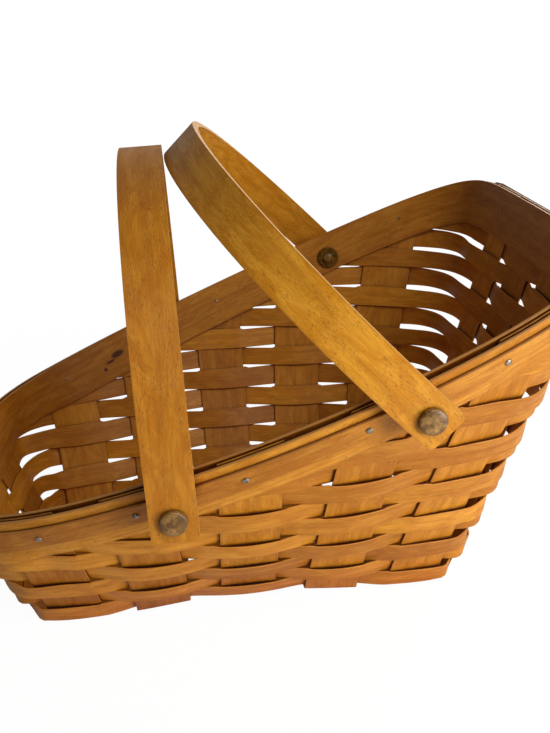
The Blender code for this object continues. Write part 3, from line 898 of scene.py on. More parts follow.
@dataclass
class Strip:
    """A thin strip of wood: rows of points across it, thickened evenly, with its edges rounded."""

    name: str
    rows: Rows
    thick: float
    round_edge: float
    seed: int
    closed: bool = False
    segments: int = 2
    grain_reach: float = 40.0
    edge_degrees: float = 50.0

    def build(self, shift: float) -> bpy.types.Object:
        """Builds the strip.

        Args:
            shift: How far the model's frame lies from the base's, along X.

        Returns:
            The strip, with its Grain layer in metres along and across it and its Span layer in shares.
        """
        chance = random.Random(self.seed)
        start = (chance.uniform(0, self.grain_reach), chance.uniform(0, self.grain_reach))
        columns, count = len(self.rows[0]), len(self.rows)
        lengths = distances([row[columns // 2] for row in self.rows])
        widths = distances(self.rows[count // 2])
        maker = bmesh.new()
        bmesh.ops.create_grid(maker, x_segments=columns - 1, y_segments=count - 1, size=1.0)
        grain = maker.loops.layers.uv.new("Grain")
        span = maker.loops.layers.uv.new("Span")
        place = {}
        for vertex in maker.verts:
            column = round((vertex.co.x + 1) / 2 * (columns - 1))
            row = round((vertex.co.y + 1) / 2 * (count - 1))
            place[vertex] = (column, row)
        for face in maker.faces:
            face.smooth = True
            for loop in face.loops:
                column, row = place[loop.vert]
                loop[grain].uv = (start[0] + lengths[row], start[1] + widths[column])
                loop[span].uv = (lengths[row] / lengths[-1], widths[column] / widths[-1])
        for vertex, (column, row) in place.items():
            vertex.co = self.rows[row][column]
        if self.closed:
            bmesh.ops.remove_doubles(maker, verts=maker.verts, dist=MERGE)
        bmesh.ops.translate(maker, verts=maker.verts, vec=(-shift, 0.0, 0.0))
        made = mesh_object(self.name, maker)
        solid = made.modifiers.new("Thickness", "SOLIDIFY")
        solid.thickness = self.thick
        solid.offset = 0.0
        solid.use_even_offset = True
        soften(made, self.round_edge, self.segments, self.edge_degrees)
        return made


@dataclass
class Splints:
    """The strips that make the base and turn up as the uprights."""

    uprights: Uprights
    weave_gap: float = 0.0005
    bend: float = 0.0036
    foot_share: float = 1.4
    knee_share: float = 0.1
    step: float = 0.0030
    round_edge: float = 0.00028
    columns: tuple[float, ...] = (-1.0, -0.88, -0.45, 0.0, 0.45, 0.88, 1.0)

    def wall_rows(self, side: Side, index: int) -> Rows:
        """Rows of an upright from its top down to its bend.

        Args:
            side: Its wall.
            index: Its number.

        Returns:
            The rows.
        """
        ups, wall = self.uprights, self.uprights.wall
        half = ups.half_width(side)
        foot = self.bend * self.foot_share
        tops = [wall.top(ups.rim_angle(side, index, half * share)) - ups.top_drop for share in self.columns]
        steps = math.ceil((max(tops) - foot) / self.step)
        rows = []
        for i in range(steps + 1):
            row = []
            for share, top in zip(self.columns, tops):
                z = top + (foot - top) * i / steps
                row.append(wall.on(ups.angle(side, index, z, half * share), z))
            rows.append(row)
        return rows

    def bend_rows(self, last: list[Vector], floor: list[Vector]) -> Rows:
        """Rows that round the bend from the wall to the base.

        Args:
            last: The wall's lowest row.
            floor: The base's first row.

        Returns:
            The rows between the two.
        """
        rows = []
        for share in (0.2, 0.4, 0.6, 0.8):
            row = []
            for top, level in zip(last, floor):
                knee = top.lerp(level, self.knee_share)
                knee.z = level.z
                row.append(top.lerp(knee, share).lerp(knee.lerp(level, share), share))
            rows.append(row)
        return rows

    def level(self, along: float, middles: Sequence[float], plateau: float, lows: Sequence[bool]) -> float:
        """Height of a splint's middle along the base.

        Args:
            along: Place along the splint.
            middles: Where it crosses the others.
            plateau: Half length of each crossing.
            lows: Whether it passes below at each crossing.

        Returns:
            The height.
        """
        thick = self.uprights.thick
        heights = [thick / 2 if low else thick * 1.5 + self.weave_gap for low in lows]
        if along <= middles[0]:
            return heights[0]
        for left, right, first, second in zip(middles, middles[1:], heights, heights[1:]):
            if along <= right:
                start, end = left + plateau, right - plateau
                return first + (second - first) * smooth((along - start) / (end - start))
        return heights[-1]

    def base_rows(self, crosswise: bool, index: int) -> Rows:
        """Rows of a splint along the base, from one wall to the other.

        Args:
            crosswise: True for a crosswise splint, False for a lengthwise one.
            index: Its number.

        Returns:
            The rows.
        """
        ups = self.uprights
        half = ups.half_width(Side.NEAR if crosswise else Side.SHALLOW)
        crosses = [ups.cross_x(j, 0.0) for j in range(ups.cross_count)]
        longs = [ups.long_y(j, 0.0) for j in range(ups.long_count)]
        middles = longs if crosswise else crosses
        own = crosses[index] if crosswise else longs[index]
        lows = [((index + j) % 2 == 1) == crosswise for j in range(len(middles))]
        plateau = ups.half_width(Side.SHALLOW if crosswise else Side.NEAR) + ups.thick
        first, last = middles[0] - plateau, middles[-1] + plateau
        count = math.ceil((last - first) / self.step)
        rows = []
        for i in range(count + 1):
            along = first + (last - first) * i / count
            z = self.level(along, middles, plateau, lows)
            if crosswise:
                rows.append([Vector((own + half * share, along, z)) for share in self.columns])
            else:
                rows.append([Vector((along, own - half * share, z)) for share in self.columns])
        return rows

    def build(self, crosswise: bool, index: int) -> bpy.types.Object:
        """Builds one splint: down a wall, along the base and up the wall across from it.

        Args:
            crosswise: True for a crosswise splint, False for a lengthwise one.
            index: Its number.

        Returns:
            The splint.
        """
        sides = (Side.NEAR, Side.FAR) if crosswise else (Side.SHALLOW, Side.DEEP)
        kind, seed = ("cross", 100) if crosswise else ("lengthwise", 200)
        first = self.wall_rows(sides[0], index)
        last = [row[::-1] for row in self.wall_rows(sides[1], index)]
        base = self.base_rows(crosswise, index)
        rows = first + self.bend_rows(first[-1], base[0]) + base
        rows += self.bend_rows(last[-1], base[-1])[::-1] + last[::-1]
        wall = self.uprights.wall
        rows = [[wall.lifted(point) for point in row] for row in rows]
        name = f"{kind}_splint_{index + 1}_wood"
        return Strip(name, rows, self.uprights.thick, self.round_edge, seed + index).build(wall.shift)


class Stop(NamedTuple):
    """An upright as a row meets it: its wall, where it starts and ends, and 1 or -1 for outside or inside."""

    side: Side
    begin: float
    end: float
    sign: float


class Course(NamedTuple):
    """How a strip runs: its swing, 1 furthest out, its share of a corner, and how much narrower it is."""

    swing: float
    corner: float
    narrow: float


@dataclass
class Weaving:
    """The rows of weaving, which pass in and out between the uprights."""

    uprights: Uprights
    count: int = 14
    thick: float = 0.0008
    gap: float = 0.0001
    start: float = 0.0042
    pitch: float = 0.011903
    row_gap: float = 0.0001
    end_cover: float = 0.004
    corner_lean_share: float = 0.42
    corner_spread: float = 1.4
    corner_narrowing: float = 0.0009
    far_narrowing: float = 0.0009
    near_widening: float = 0.0008
    bow: float = 0.0024
    shallow_hold: float = 1.0
    shallow_from: float = 0.25
    shallow_span: float = 0.35
    level_from: float = 0.8
    level_span: float = 0.5
    edge_phase: float = 0.56
    wobble: float = 0.00028
    step: float = 0.0024
    round_edge: float = 0.00032
    columns: tuple[float, ...] = (0.0, 0.07, 0.5, 0.93, 1.0)
    samples: int = 900
    seed: int = 300

    @property
    def offset(self) -> float:
        """Distance from the wall's middle to a strip that passes over an upright."""
        return self.uprights.thick / 2 + self.gap + self.thick / 2

    def edge(self, boundary: int, angle: float) -> float:
        """Height of the line between two rows, which wanders a little along the wall."""
        wander = math.sin(3 * angle + 1.7 * boundary) + 0.6 * math.sin(7 * angle + 2.9 * boundary)
        return self.start + boundary * self.pitch + (self.wobble * wander if boundary else 0.0)

    def covered(self, row: int, angle: float) -> bool:
        """True where the rim covers the row's upper edge, so that the strip goes on there."""
        high = self.start + (row + 1) * self.pitch - self.row_gap
        return self.uprights.wall.top(angle) > high + self.end_cover

    def stops(self, row: int, middle: float, way: Round) -> list[Stop]:
        """The uprights that a row meets.

        Args:
            row: The row's number.
            middle: Its height.
            way: The way round at that height.

        Returns:
            The uprights in order.
        """
        found = []
        for place, (side, index) in enumerate(self.uprights.in_order()):
            reach = self.uprights.half_width(side) + self.uprights.thick
            begin, end = (
                way.distance(self.uprights.angle(side, index, middle, shift)) for shift in (-reach, reach)
            )
            found.append(Stop(side, begin, end, 1.0 if (place + row) % 2 == 0 else -1.0))
        return found

    def course(self, at: float, total: float, stops: list[Stop]) -> Course:
        """Finds how a strip runs at a distance round the wall.

        Args:
            at: The distance.
            total: The whole distance round.
            stops: The uprights that it meets.

        Returns:
            The course.
        """
        for before, stop, after in zip(stops[-1:] + stops[:-1], stops, stops[1:] + stops[:1]):
            side, begin, end, sign = stop
            here = (at - begin) % total
            width = (end - begin) % total
            room = (after.begin - begin) % total
            leaves, comes = after.side is not side, before.side is not side
            if here <= width:
                share = here / width
                first = math.pi / 2 if comes else self.edge_phase
                last = math.pi / 2 if leaves else math.pi - self.edge_phase
                toward = 2 * share - 1 if leaves else 1 - 2 * share if comes else 0.0
                swing = sign * math.sin(first + (last - first) * share)
                return Course(swing, 0.0, self.corner_narrowing * max(0.0, toward))
            if here < room:
                share = (here - width) / (room - width)
                if leaves:
                    corner = min(self.corner_spread * math.sin(math.pi * share), 1.0)
                    return Course(sign * math.cos(math.pi * share), corner, self.corner_narrowing)
                narrow = -self.near_widening if side is Side.NEAR else self.far_narrowing
                return Course(sign * math.sin(self.edge_phase * (1 - 2 * share)), 0.0, narrow)
        return Course(1.0, 0.0, 0.0)

    def rows(self, row: int) -> tuple[Rows, bool]:
        """Finds the points of one strip.

        Args:
            row: The strip's number.

        Returns:
            The rows of points across it, and whether it closes on itself.
        """
        middle = self.start + (row + 0.5) * self.pitch
        way = Round(self.uprights.wall, self.samples, lambda angle: middle)
        stops = self.stops(row, middle, way)
        count = math.ceil(way.total / self.step)
        stations = [(way.total * i / count, way.angle(way.total * i / count)) for i in range(count)]
        kept = [self.covered(row, angle) for _, angle in stations]
        closed = all(kept)
        if closed:
            stations.append(stations[0])
        else:
            first = next(i for i in range(count) if kept[i] and not kept[i - 1])
            length = next(i for i in range(1, count) if not kept[(first + i) % count])
            stations = [stations[(first + i) % count] for i in range(length)]
        return [self.across(row, angle, self.course(at, way.total, stops)) for at, angle in stations], closed

    def across(self, row: int, angle: float, course: Course) -> list[Vector]:
        """Points across a strip at one place round the wall.

        Args:
            row: The row's number.
            angle: Plan angle.
            course: How the strip runs there.

        Returns:
            The points, from its lower edge up.
        """
        wall = self.uprights.wall
        low = self.edge(row, angle)
        high = self.edge(row + 1, angle) - self.row_gap - course.narrow
        free = min(max((wall.top(angle) - wall.band_height - high) / self.pitch, 0.0), 1.0)
        normal = wall.normal(angle, (low + high) / 2)
        loose = free * (1 - self.shallow_hold * smooth((-normal.x - self.shallow_from) / self.shallow_span))
        limit = self.offset + (self.bow - self.offset) * loose
        offset = min(max(course.swing * self.bow, -limit), limit)
        lean = 1 - (1 - self.corner_lean_share) * course.corner * free
        level = Vector((normal.x, normal.y, 0.0))
        level_share = smooth((normal.y + self.level_from) / self.level_span)
        push = normal.lerp(level / level.length_squared, level_share) * offset
        bottom, top = wall.on(angle, low) + push, wall.on(angle, high) + push
        middle = (bottom + top) / 2
        points = []
        for share in self.columns:
            edge = bottom.lerp(top, share)
            point = middle.lerp(edge, lean)
            point.z = edge.z
            points.append(wall.lifted(point))
        return points

    def build(self, row: int) -> bpy.types.Object:
        """Builds one strip of the weaving.

        Args:
            row: The strip's number.

        Returns:
            The strip.
        """
        rows, closed = self.rows(row)
        name = f"weaver_row_{row + 1:02d}_wood"
        strip = Strip(name, rows, self.thick, self.round_edge, self.seed + row, closed)
        return strip.build(self.uprights.wall.shift)


class Knot(NamedTuple):
    """A knot on a band: its x, its depth below the rim's top, its half length and its half width."""

    x: float
    drop: float
    length: float
    width: float


@dataclass
class Bands:
    """The bands that hold the rim, and the trim strip round the outer one."""

    wall: Wall
    room: float = 0.00140
    band_thick: float = 0.0015
    trim_thick: float = 0.0016
    trim_drop: float = 0.0050
    trim_height: float = 0.0117
    clearance: float = 0.0001
    marks: tuple[Knot, ...] = (
        Knot(-0.0652, 0.0124, 0.0064, 0.0027),
        Knot(-0.0702, 0.0149, 0.0050, 0.0011),
        Knot(-0.0731, 0.0178, 0.0017, 0.0016),
    )
    knot_rise: float = 0.0008
    knot_probe: float = 0.01
    round_edge: float = 0.00045
    stations: int = 460
    samples: int = 1440
    columns: tuple[float, ...] = (0.0, 0.04, 0.5, 0.96, 1.0)

    @property
    def outer_face(self) -> float:
        """Distance from the wall's middle to the outer band's outer face."""
        return self.room + self.band_thick

    @property
    def trim_face(self) -> float:
        """Distance from the wall's middle to the trim strip's outer face."""
        return self.outer_face + self.clearance + self.trim_thick

    @property
    def trim_middle(self) -> float:
        """How far the trim strip's middle line is below the rim's top."""
        return self.trim_drop + self.trim_height / 2

    def knots(self) -> tuple[Spot, ...]:
        """Finds the knots on the inner band's face at the far side.

        Returns:
            Each knot's middle, direction, half length and half width.
        """
        found = []
        for x, drop, length, width in self.marks:
            angle = self.wall.angle_at(Side.FAR, x, self.wall.top_at(x) - drop)
            z = self.wall.top(angle) - drop
            here = self.wall.on(angle, z, -self.outer_face)
            ahead = self.wall.on(angle - self.knot_probe, z, -self.outer_face)
            along = ahead - here + Vector((0.0, 0.0, self.knot_rise))
            found.append((here - Vector((self.wall.shift, 0.0, 0.0)), along, length, width))
        return tuple(found)

    def ring(
        self, node: str, offset: float, thick: float, drop: float, height: float, seed: int
    ) -> bpy.types.Object:
        """Builds a band all round the rim.

        Args:
            node: The solid that it stands for.
            offset: Distance from the wall's middle to the band's.
            thick: Its thickness.
            drop: How far its upper edge is below the rim's top.
            height: Its height.
            seed: What sets its grain apart.

        Returns:
            The band.
        """
        way = Round(self.wall, self.samples, self.wall.top)
        rows = []
        for i in range(self.stations + 1):
            angle = way.angle(way.total * i / self.stations)
            top = self.wall.top(angle) - drop
            low, high = self.wall.on(angle, top - height, offset), self.wall.on(angle, top, offset)
            rows.append([low.lerp(high, share) for share in self.columns])
        strip = Strip(f"{node}_wood", rows, thick, self.round_edge, seed, closed=True, segments=3)
        return strip.build(self.wall.shift)

    def build(self) -> dict[str, bpy.types.Object]:
        """Builds the inner band, the outer band and the trim strip.

        Returns:
            Each band, by the solid that it stands for.
        """
        middle = self.room + self.band_thick / 2
        band = (self.band_thick, 0.0, self.wall.band_height)
        trim = (self.trim_thick, self.trim_drop, self.trim_height)
        return {
            "inner_band": self.ring("inner_band", -middle, *band, 401),
            "outer_band": self.ring("outer_band", middle, *band, 402),
            "trim_strip": self.ring("trim_strip", self.trim_face - self.trim_thick / 2, *trim, 403),
        }


@dataclass
class SwingHandle:
    """A flat strip of wood bent into an arch, which turns on a rivet at each foot."""

    short: str
    pivot_x: float
    pivot_z: float
    half: float
    tilt: float
    reach: float
    seed: int
    width: float = 0.0208
    thick: float = 0.004
    tail: float = 0.0108
    corner: float = 0.0030
    power: float = 2.06
    steps: int = 150
    corner_steps: int = 8
    leg_steps: int = 6
    foot_gap: float = 0.0015
    round_edge: float = 0.0010
    columns: tuple[float, ...] = (-1.0, -0.9, -0.45, 0.0, 0.45, 0.9, 1.0)

    @property
    def node(self) -> str:
        """The solid's name, which is the body's too."""
        return f"{self.short}_handle"

    def path(self) -> list[tuple[float, float, float]]:
        """Finds the middle line of the strip, near foot to far foot.

        Returns:
            Its points as (y, reach, share of the full width).
        """
        leg = []
        for i in range(self.corner_steps + 1):
            turn = math.pi / 2 * i / self.corner_steps
            wide = 1 - self.corner * (1 - math.sin(turn)) / (self.width / 2)
            leg.append((-self.half, -self.tail + self.corner * (1 - math.cos(turn)), wide))
        for i in range(1, self.leg_steps + 1):
            reach = -self.tail + self.corner + (self.tail - self.corner) * i / self.leg_steps
            leg.append((-self.half, reach, 1.0))
        arch = []
        for i in range(1, self.steps):
            turn = math.pi * i / self.steps
            y = -self.half * math.copysign(abs(math.cos(turn)) ** (2 / self.power), math.cos(turn))
            arch.append((y, self.reach * math.sin(turn) ** (2 / self.power), 1.0))
        arch = [item for item in arch if item[1] > self.foot_gap]
        return leg + arch + [(-y, reach, wide) for y, reach, wide in reversed(leg)]

    def build(self, shift: float) -> bpy.types.Object:
        """Builds the handle, tilted about the line through its rivets.

        Args:
            shift: How far the model's frame lies from the base's, along X.

        Returns:
            The handle.
        """
        up = Vector((-math.sin(self.tilt), 0.0, math.cos(self.tilt)))
        across = Vector((math.cos(self.tilt), 0.0, math.sin(self.tilt)))
        pivot = Vector((self.pivot_x, 0.0, self.pivot_z))
        rows = []
        for y, reach, wide in self.path():
            middle = pivot + up * reach + Vector((0.0, y, 0.0))
            rows.append([middle + across * (self.width / 2 * wide * share) for share in self.columns])
        strip = Strip(f"{self.node}_wood", rows, self.thick, self.round_edge, self.seed, segments=4)
        return strip.build(shift)


@dataclass
class Fasteners:
    """The tacks of the trim strip and of the slat, the rivets and their washers."""

    uprights: Uprights
    bands: Bands
    tack_radius: float = 0.0016
    tack_height: float = 0.0007
    shank_radius: float = 0.0006
    point_radius: float = 0.0010
    point_height: float = 0.0006
    near_spread: float = 0.93
    near_shift: float = -0.0025
    rivet_radius: float = 0.0020
    head_radius: float = 0.0060
    head_height: float = 0.0034
    tail_radius: float = 0.0032
    tail_height: float = 0.0012
    washer_radius: float = 0.0065
    washer_thick: float = 0.0010
    washer_gap: float = 0.0005
    washer_bore: float = 0.0027
    tack_sides: int = 24
    rivet_sides: int = 48
    round_edge: float = 0.00018

    def spin(
        self, name: str, profiles: Sequence[Sequence[tuple[float, float]]], sides: int, place: Vector,
        direction: Vector, ring: bool = False,
    ) -> bpy.types.Object:
        """Turns profiles about one axis and puts the piece in place.

        Args:
            name: The piece's name.
            profiles: For each part of the piece, its (radius, height) points.
            sides: Steps of the turn.
            place: Where its origin goes.
            direction: Where its axis points.
            ring: True for a closed section, such as a washer's.

        Returns:
            The piece.
        """
        maker = bmesh.new()
        for profile in profiles:
            points = [maker.verts.new((radius, 0.0, height)) for radius, height in profile]
            pairs = zip(points, points[1:] + points[:1]) if ring else zip(points, points[1:])
            edges = [maker.edges.new(pair) for pair in pairs]
            bmesh.ops.spin(
                maker, geom=points + edges, cent=(0, 0, 0), axis=(0, 0, 1), angle=TURN, steps=sides,
                use_merge=True, use_duplicate=False,
            )
        bmesh.ops.remove_doubles(maker, verts=maker.verts, dist=MERGE)
        bmesh.ops.recalc_face_normals(maker, faces=maker.faces)
        for face in maker.faces:
            face.smooth = True
        turn = direction.to_track_quat("Z", "Y").to_matrix().to_4x4()
        move = Matrix.Translation(place - Vector((self.bands.wall.shift, 0.0, 0.0)))
        bmesh.ops.transform(maker, matrix=move @ turn, verts=maker.verts)
        made = mesh_object(name, maker)
        soften(made, self.round_edge, segments=2, degrees=40.0)
        return made

    def tack_profile(self, shank: float) -> list[tuple[float, float]]:
        """Section of a tack with a low domed head.

        Args:
            shank: The shank's length.

        Returns:
            Its (radius, height) points.
        """
        radius, height, thin = self.tack_radius, self.tack_height, self.shank_radius
        turns = (0.0, 0.3, 0.6, 0.9, 1.2)
        dome = [(radius * math.cos(t), height * (0.35 + 0.65 * math.sin(t))) for t in turns]
        return [(0.0, -shank), (thin, -shank), (thin, 0.0), (radius * 0.96, 0.0), *dome, (0.0, height)]

    def tack(self, side: Side, index: int) -> bpy.types.Object:
        """Builds the tack over an upright, with its point through the inner band.

        Args:
            side: The upright's wall.
            index: The upright's number.

        Returns:
            The tack.
        """
        bands, wall = self.bands, self.bands.wall
        along = self.uprights.cross_x(index, wall.height) * (self.near_spread - 1) + self.near_shift
        angle = self.uprights.rim_angle(side, index, along if side is Side.NEAR else 0.0)
        z = wall.top(angle) - bands.trim_middle
        seat = wall.on(angle, z, bands.trim_face + bands.clearance)
        shank = bands.trim_thick + bands.clearance + bands.band_thick
        through = bands.trim_face + bands.outer_face + 2 * bands.clearance
        radius, height = self.point_radius, self.point_height
        end = [(radius, -through), (radius * 0.7, -through - height * 0.8), (0.0, -through - height)]
        profiles = [self.tack_profile(shank), [(0.0, -through), *end]]
        name = f"tack_{side.value}_{index + 1}_metal"
        return self.spin(name, profiles, self.tack_sides, seat, wall.normal(angle, z))

    def rivet_profile(self, inner: float, outer: float) -> list[tuple[float, float]]:
        """Section of a rivet.

        Args:
            inner: Where its tail's flat side is, along its axis.
            outer: Where its head's flat side is.

        Returns:
            The section's points, from the tail's end to the top of the head.
        """
        head, rise, tail, deep = self.head_radius, self.head_height, self.tail_radius, self.tail_height
        turns = (0.5, 0.75, 1.0, 1.25)
        dome = [(head * math.cos(t), outer + rise * (0.62 + 0.38 * math.sin(t))) for t in turns]
        return [
            (0.0, inner - deep), (tail * 0.7, inner - deep * 0.8), (tail, inner - deep * 0.2), (tail, inner),
            (self.rivet_radius, inner), (self.rivet_radius, outer), (head * 0.95, outer),
            (head, outer + rise * 0.12), (head, outer + rise * 0.62), (head * 0.97, outer + rise * 0.72),
            *dome, (0.0, outer + rise),
        ]

    def rivet(self, handle: SwingHandle, side: Side) -> tuple[bpy.types.Object, bpy.types.Object]:
        """Builds the rivet and the washer at one foot of a handle.

        Args:
            handle: The handle.
            side: The wall that it is on.

        Returns:
            The rivet and the washer.
        """
        wall, bands = self.bands.wall, self.bands
        direction = Vector((0.0, -1.0 if side is Side.NEAR else 1.0, 0.0))
        angle = wall.angle_at(side, handle.pivot_x, handle.pivot_z)
        normal = wall.normal(angle, handle.pivot_z)
        facing = abs(normal.y)
        half, bore, radius = self.washer_thick / 2, self.washer_bore, self.washer_radius
        out = (bands.outer_face + self.washer_gap + half) / facing
        pivot = Vector((handle.pivot_x, 0.0, handle.pivot_z))
        seat = pivot + Vector((0.0, wall.on(angle, handle.pivot_z).y, 0.0)) - direction * out
        lean = self.tail_radius * math.sqrt(1 - facing**2) / facing
        inner = abs(seat.y) - half / facing - lean - bands.clearance
        outer = handle.half + handle.thick / 2 + bands.clearance
        place = f"{handle.short}_{side.value}"
        profile = self.rivet_profile(inner, outer)
        rivet = self.spin(f"rivet_{place}_head", [profile], self.rivet_sides, pivot, direction)
        section = [(bore, -half), (radius, -half), (radius, half), (bore, half)]
        washer = self.spin(f"washer_{place}_metal", [section], self.rivet_sides, seat, normal, ring=True)
        return rivet, washer


@dataclass
class EndSlat:
    """The flat slat across the outside of the deep end, with its two tacks."""

    fasteners: Fasteners
    length: float = 0.159
    height: float = 0.026
    thick: float = 0.0042
    rise: float = -0.0032
    corner: float = 0.004
    corner_steps: int = 8
    steps: int = 40
    round_edge: float = 0.0008
    tack_spacing: float = 0.030
    columns: tuple[float, ...] = (0.0, 0.05, 0.5, 0.95, 1.0)

    def frame(self) -> tuple[Vector, Vector, Vector, float]:
        """Finds how the slat stands.

        Returns:
            Its foot, upward direction and outward direction, and the height of its top over its foot.
        """
        bands, wall = self.fasteners.bands, self.fasteners.bands.wall
        z = wall.top(0.0) - bands.trim_middle
        normal = wall.normal(0.0, z)
        up = Vector((0.0, 1.0, 0.0)).cross(normal) * -1.0
        foot = wall.on(0.0, z, bands.trim_face + self.fasteners.tack_height + 3 * bands.clearance)
        return foot, up, normal, (wall.top(0.0) + self.rise - foot.z) / up.z

    def build(self) -> bpy.types.Object:
        """Builds the slat from one end to the other, with its ends' corners rounded.

        Returns:
            The slat.
        """
        foot, up, normal, top = self.frame()
        half, corner = self.length / 2, self.corner
        turns = [math.pi / 2 * i / self.corner_steps for i in range(self.corner_steps + 1)]
        spots = [(corner * (1 - math.cos(turn)), corner * (1 - math.sin(turn))) for turn in turns]
        straight = self.length - 2 * corner
        stations = [(-half + away, cut) for away, cut in spots]
        stations += [(-half + corner + straight * i / self.steps, 0.0) for i in range(1, self.steps)]
        stations += [(half - away, cut) for away, cut in reversed(spots)]
        rows = []
        for y, cut in stations:
            low, high = top - self.height + cut, top - cut
            middle = foot + normal * (self.thick / 2) + Vector((0.0, y, 0.0))
            rows.append([middle + up * (low + (high - low) * share) for share in self.columns])
        strip = Strip("end_slat_wood", rows, self.thick, self.round_edge, 501, segments=3)
        return strip.build(self.fasteners.bands.wall.shift)

    def tack(self, number: int) -> bpy.types.Object:
        """Builds one of the slat's tacks.

        Args:
            number: 1 or 2.

        Returns:
            The tack.
        """
        fasteners = self.fasteners
        foot, _, normal, _ = self.frame()
        y = (number - 1.5) * self.tack_spacing
        seat = foot + normal * (self.thick + fasteners.bands.clearance) + Vector((0.0, y, 0.0))
        profile = fasteners.tack_profile(self.thick)
        return fasteners.spin(f"slat_tack_{number}_metal", [profile], fasteners.tack_sides, seat, normal)


class Lamp(NamedTuple):
    """A square soft lamp that points at the basket: name, place, side, watts and colour."""

    name: str
    place: tuple[float, float, float]
    size: float
    power: float
    tint: tuple[float, float, float]


@dataclass
class Studio:
    """The pale floor, the lamps and the camera at the photograph's angle."""

    shift: float
    focal_pixels: float = 862.7
    frame_height: int = 733
    sensor: float = 36.0
    position: tuple[float, float, float] = (-0.0240, -0.4262, 0.3067)
    yaw: float = 0.1168
    pitch: float = 0.4215
    roll: float = -0.0310
    lamps: tuple[Lamp, ...] = (
        Lamp("Key lamp", (0.52, -0.56, 0.20), 0.30, 3.7, (1.0, 0.98, 0.95)),
        Lamp("Front lamp", (0.75, -1.15, 1.3), 0.8, 14.0, (1.0, 0.97, 0.92)),
        Lamp("Back lamp", (1.0, 1.4, 1.0), 1.0, 16.0, (1.0, 0.97, 0.93)),
    )
    aim_height: float = 0.10
    ambient: float = 0.09
    mirror_share: float = 0.25
    floor_radius: float = 60.0
    floor_tint: str = "F2F1EE"
    floor_roughness: float = 0.7
    floor_glow: float = 1.03
    glow_fade: Fade = Fade(0.3, 0.9, 0.94, 1.0)

    def camera(self) -> None:
        """Makes the camera."""
        data = bpy.data.cameras.new("Camera")
        data.sensor_width = self.sensor
        data.lens = self.focal_pixels / self.frame_height * self.sensor
        data.clip_start = 0.01
        level = Vector((math.cos(self.yaw), -math.sin(self.yaw), 0.0))
        ahead = Vector((math.sin(self.yaw), math.cos(self.yaw), 0.0))
        forward = ahead * math.cos(self.pitch) - Vector((0.0, 0.0, math.sin(self.pitch)))
        upward = level.cross(forward)
        right = level * math.cos(self.roll) + upward * math.sin(self.roll)
        up = upward * math.cos(self.roll) - level * math.sin(self.roll)
        made = bpy.data.objects.new("Camera", data)
        turn = Matrix((right, up, -forward)).transposed().to_4x4()
        made.matrix_world = Matrix.Translation(Vector(self.position) - Vector((self.shift, 0.0, 0.0))) @ turn
        bpy.context.scene.collection.objects.link(made)
        bpy.context.scene.camera = made

    def light(self) -> None:
        """Adds the lamps and the world's light, which the camera sees as white."""
        for lamp in self.lamps:
            data = bpy.data.lights.new(lamp.name, "AREA")
            data.size = lamp.size
            data.energy = lamp.power
            data.color = lamp.tint
            made = bpy.data.objects.new(lamp.name, data)
            made.location = lamp.place
            aim = Vector((0.0, 0.0, self.aim_height)) - Vector(lamp.place)
            made.rotation_euler = aim.to_track_quat("-Z", "Y").to_euler()
            bpy.context.scene.collection.objects.link(made)
        world = bpy.data.worlds.new("Studio")
        bpy.context.scene.world = world
        world.use_nodes = True
        tree = Nodes(world.node_tree)
        rays = tree.add("LightPath", {}).outputs
        mirrored = tree.math("MAXIMUM", rays["Is Glossy Ray"], rays["Is Transmission Ray"])
        seen = tree.math("MAXIMUM", rays["Is Camera Ray"], tree.math("MULTIPLY", mirrored, self.mirror_share))
        power = tree.math("ADD", tree.math("MULTIPLY", seen, 1.0 - self.ambient), self.ambient)
        surface = tree.nodes["Background"]
        surface.inputs["Color"].default_value = colour("FFFFFF")
        tree.put(surface.inputs["Strength"], power)

    def floor(self) -> None:
        """Makes the floor, which looks white and still takes the basket's shadow."""
        maker = bmesh.new()
        bmesh.ops.create_circle(maker, cap_ends=True, segments=96, radius=self.floor_radius)
        made = mesh_object("Floor", maker)
        graph = Graph("pale floor")
        graph.finish(colour(self.floor_tint), self.floor_roughness)
        glow = graph.add("Emission", {"Strength": self.floor_glow})
        seen = graph.add("LightPath", {}).outputs["Is Camera Ray"]
        share = graph.math("MULTIPLY", seen, graph.span(graph.length(graph.place()), self.glow_fade))
        blend = graph.add("MixShader", {0: share, 1: graph.shader.outputs[0], 2: glow.outputs[0]})
        graph.put(graph.nodes["Material Output"].inputs["Surface"], blend.outputs[0])
        made.data.materials.append(graph.material)


class Stance(NamedTuple):
    """A handle's name, its lean toward the shallow end, its height over its rivets, and its grain's seed."""

    name: str
    degrees: float
    reach: float
    seed: int


STANCES = (Stance("front", 1.5, 0.1322, 601), Stance("back", 44.1, 0.1313, 602))


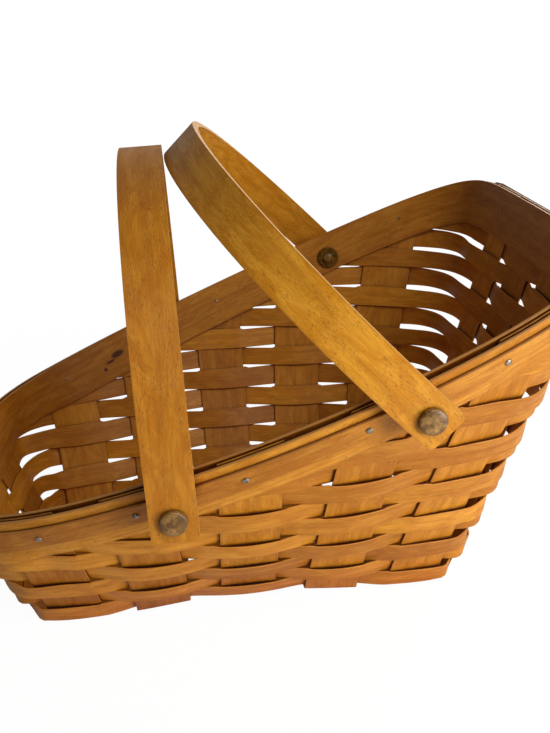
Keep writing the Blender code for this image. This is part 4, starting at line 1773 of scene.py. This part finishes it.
class Basket:
    """The whole basket: builds each sub-assembly, dresses it and puts it on its body."""

    def __init__(self, shift: float) -> None:
        """Sets out the sub-assemblies.

        Args:
            shift: How far the model's frame lies from the base's, along X.
        """
        self.shift = shift
        self.wall = Wall(shift)
        self.uprights = Uprights(self.wall)
        self.bands = Bands(self.wall)
        self.finishes = Finishes(self.bands.knots())
        self.fasteners = Fasteners(self.uprights, self.bands)
        self.handles = [self.handle(stance) for stance in STANCES]

    def handle(self, stance: Stance) -> SwingHandle:
        """Sets out a handle between the rivets of its solid.

        Args:
            stance: How it stands.

        Returns:
            The handle.
        """
        name, degrees, reach, seed = stance
        low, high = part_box(f"rivet_{name}_near")
        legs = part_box(f"{name}_handle")
        half = (legs[1].y - legs[0].y) / 2 - SwingHandle.thick / 2
        pivot_x, pivot_z = (low.x + high.x) / 2 + self.shift, (low.z + high.z) / 2
        return SwingHandle(name, pivot_x, pivot_z, half, math.radians(degrees), reach, seed)

    def fit(self, piece: bpy.types.Object, node: str, slot: Slot, body: str = "basket") -> None:
        """Dresses a piece, puts it on its body and lets it stand for its solid.

        Args:
            piece: The piece.
            node: The solid that it stands for.
            slot: Its finish.
            body: The body that it moves with.
        """
        self.finishes.dress(piece, slot)
        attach(piece, body)
        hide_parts(node)
        LOG.info("%s stands for %s", piece.name, node)

    def build(self) -> None:
        """Builds every piece."""
        splints = Splints(self.uprights)
        for index in range(self.uprights.cross_count):
            self.fit(splints.build(True, index), f"cross_splint_{index + 1}", Slot.SPLINT)
        for index in range(self.uprights.long_count):
            self.fit(splints.build(False, index), f"lengthwise_splint_{index + 1}", Slot.SPLINT)
        weaving = Weaving(self.uprights)
        for row in range(weaving.count):
            self.fit(weaving.build(row), f"weaver_row_{row + 1:02d}", Slot.SPLINT)
        for node, piece in self.bands.build().items():
            self.fit(piece, node, Slot.BAND)
        for side, index in self.uprights.in_order():
            if (side, index) != (Side.DEEP, 1):
                self.fit(self.fasteners.tack(side, index), f"tack_{side.value}_{index + 1}", Slot.TACK)
        for handle in self.handles:
            self.fit(handle.build(self.shift), handle.node, Slot.HANDLE, handle.node)
            for side in (Side.NEAR, Side.FAR):
                rivet, washer = self.fasteners.rivet(handle, side)
                self.fit(rivet, f"rivet_{handle.short}_{side.value}", Slot.RIVET)
                self.fit(washer, f"washer_{handle.short}_{side.value}", Slot.WASHER)
        slat = EndSlat(self.fasteners)
        self.fit(slat.build(), "end_slat", Slot.SLAT)
        for number in (1, 2):
            self.fit(slat.tack(number), f"slat_tack_{number}", Slot.TACK)


def main() -> None:
    """Builds the dressed basket and its studio."""
    logging.basicConfig(level=logging.INFO, format="%(name)s: %(message)s")
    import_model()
    low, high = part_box("rivet_front_near")
    shift = FRONT_RIVET_X - (low.x + high.x) / 2
    Basket(shift).build()
    studio = Studio(shift)
    studio.camera()
    studio.light()
    studio.floor()
    view = bpy.context.scene.view_settings
    view.view_transform = "Standard"


if __name__ == "__main__":
    main()
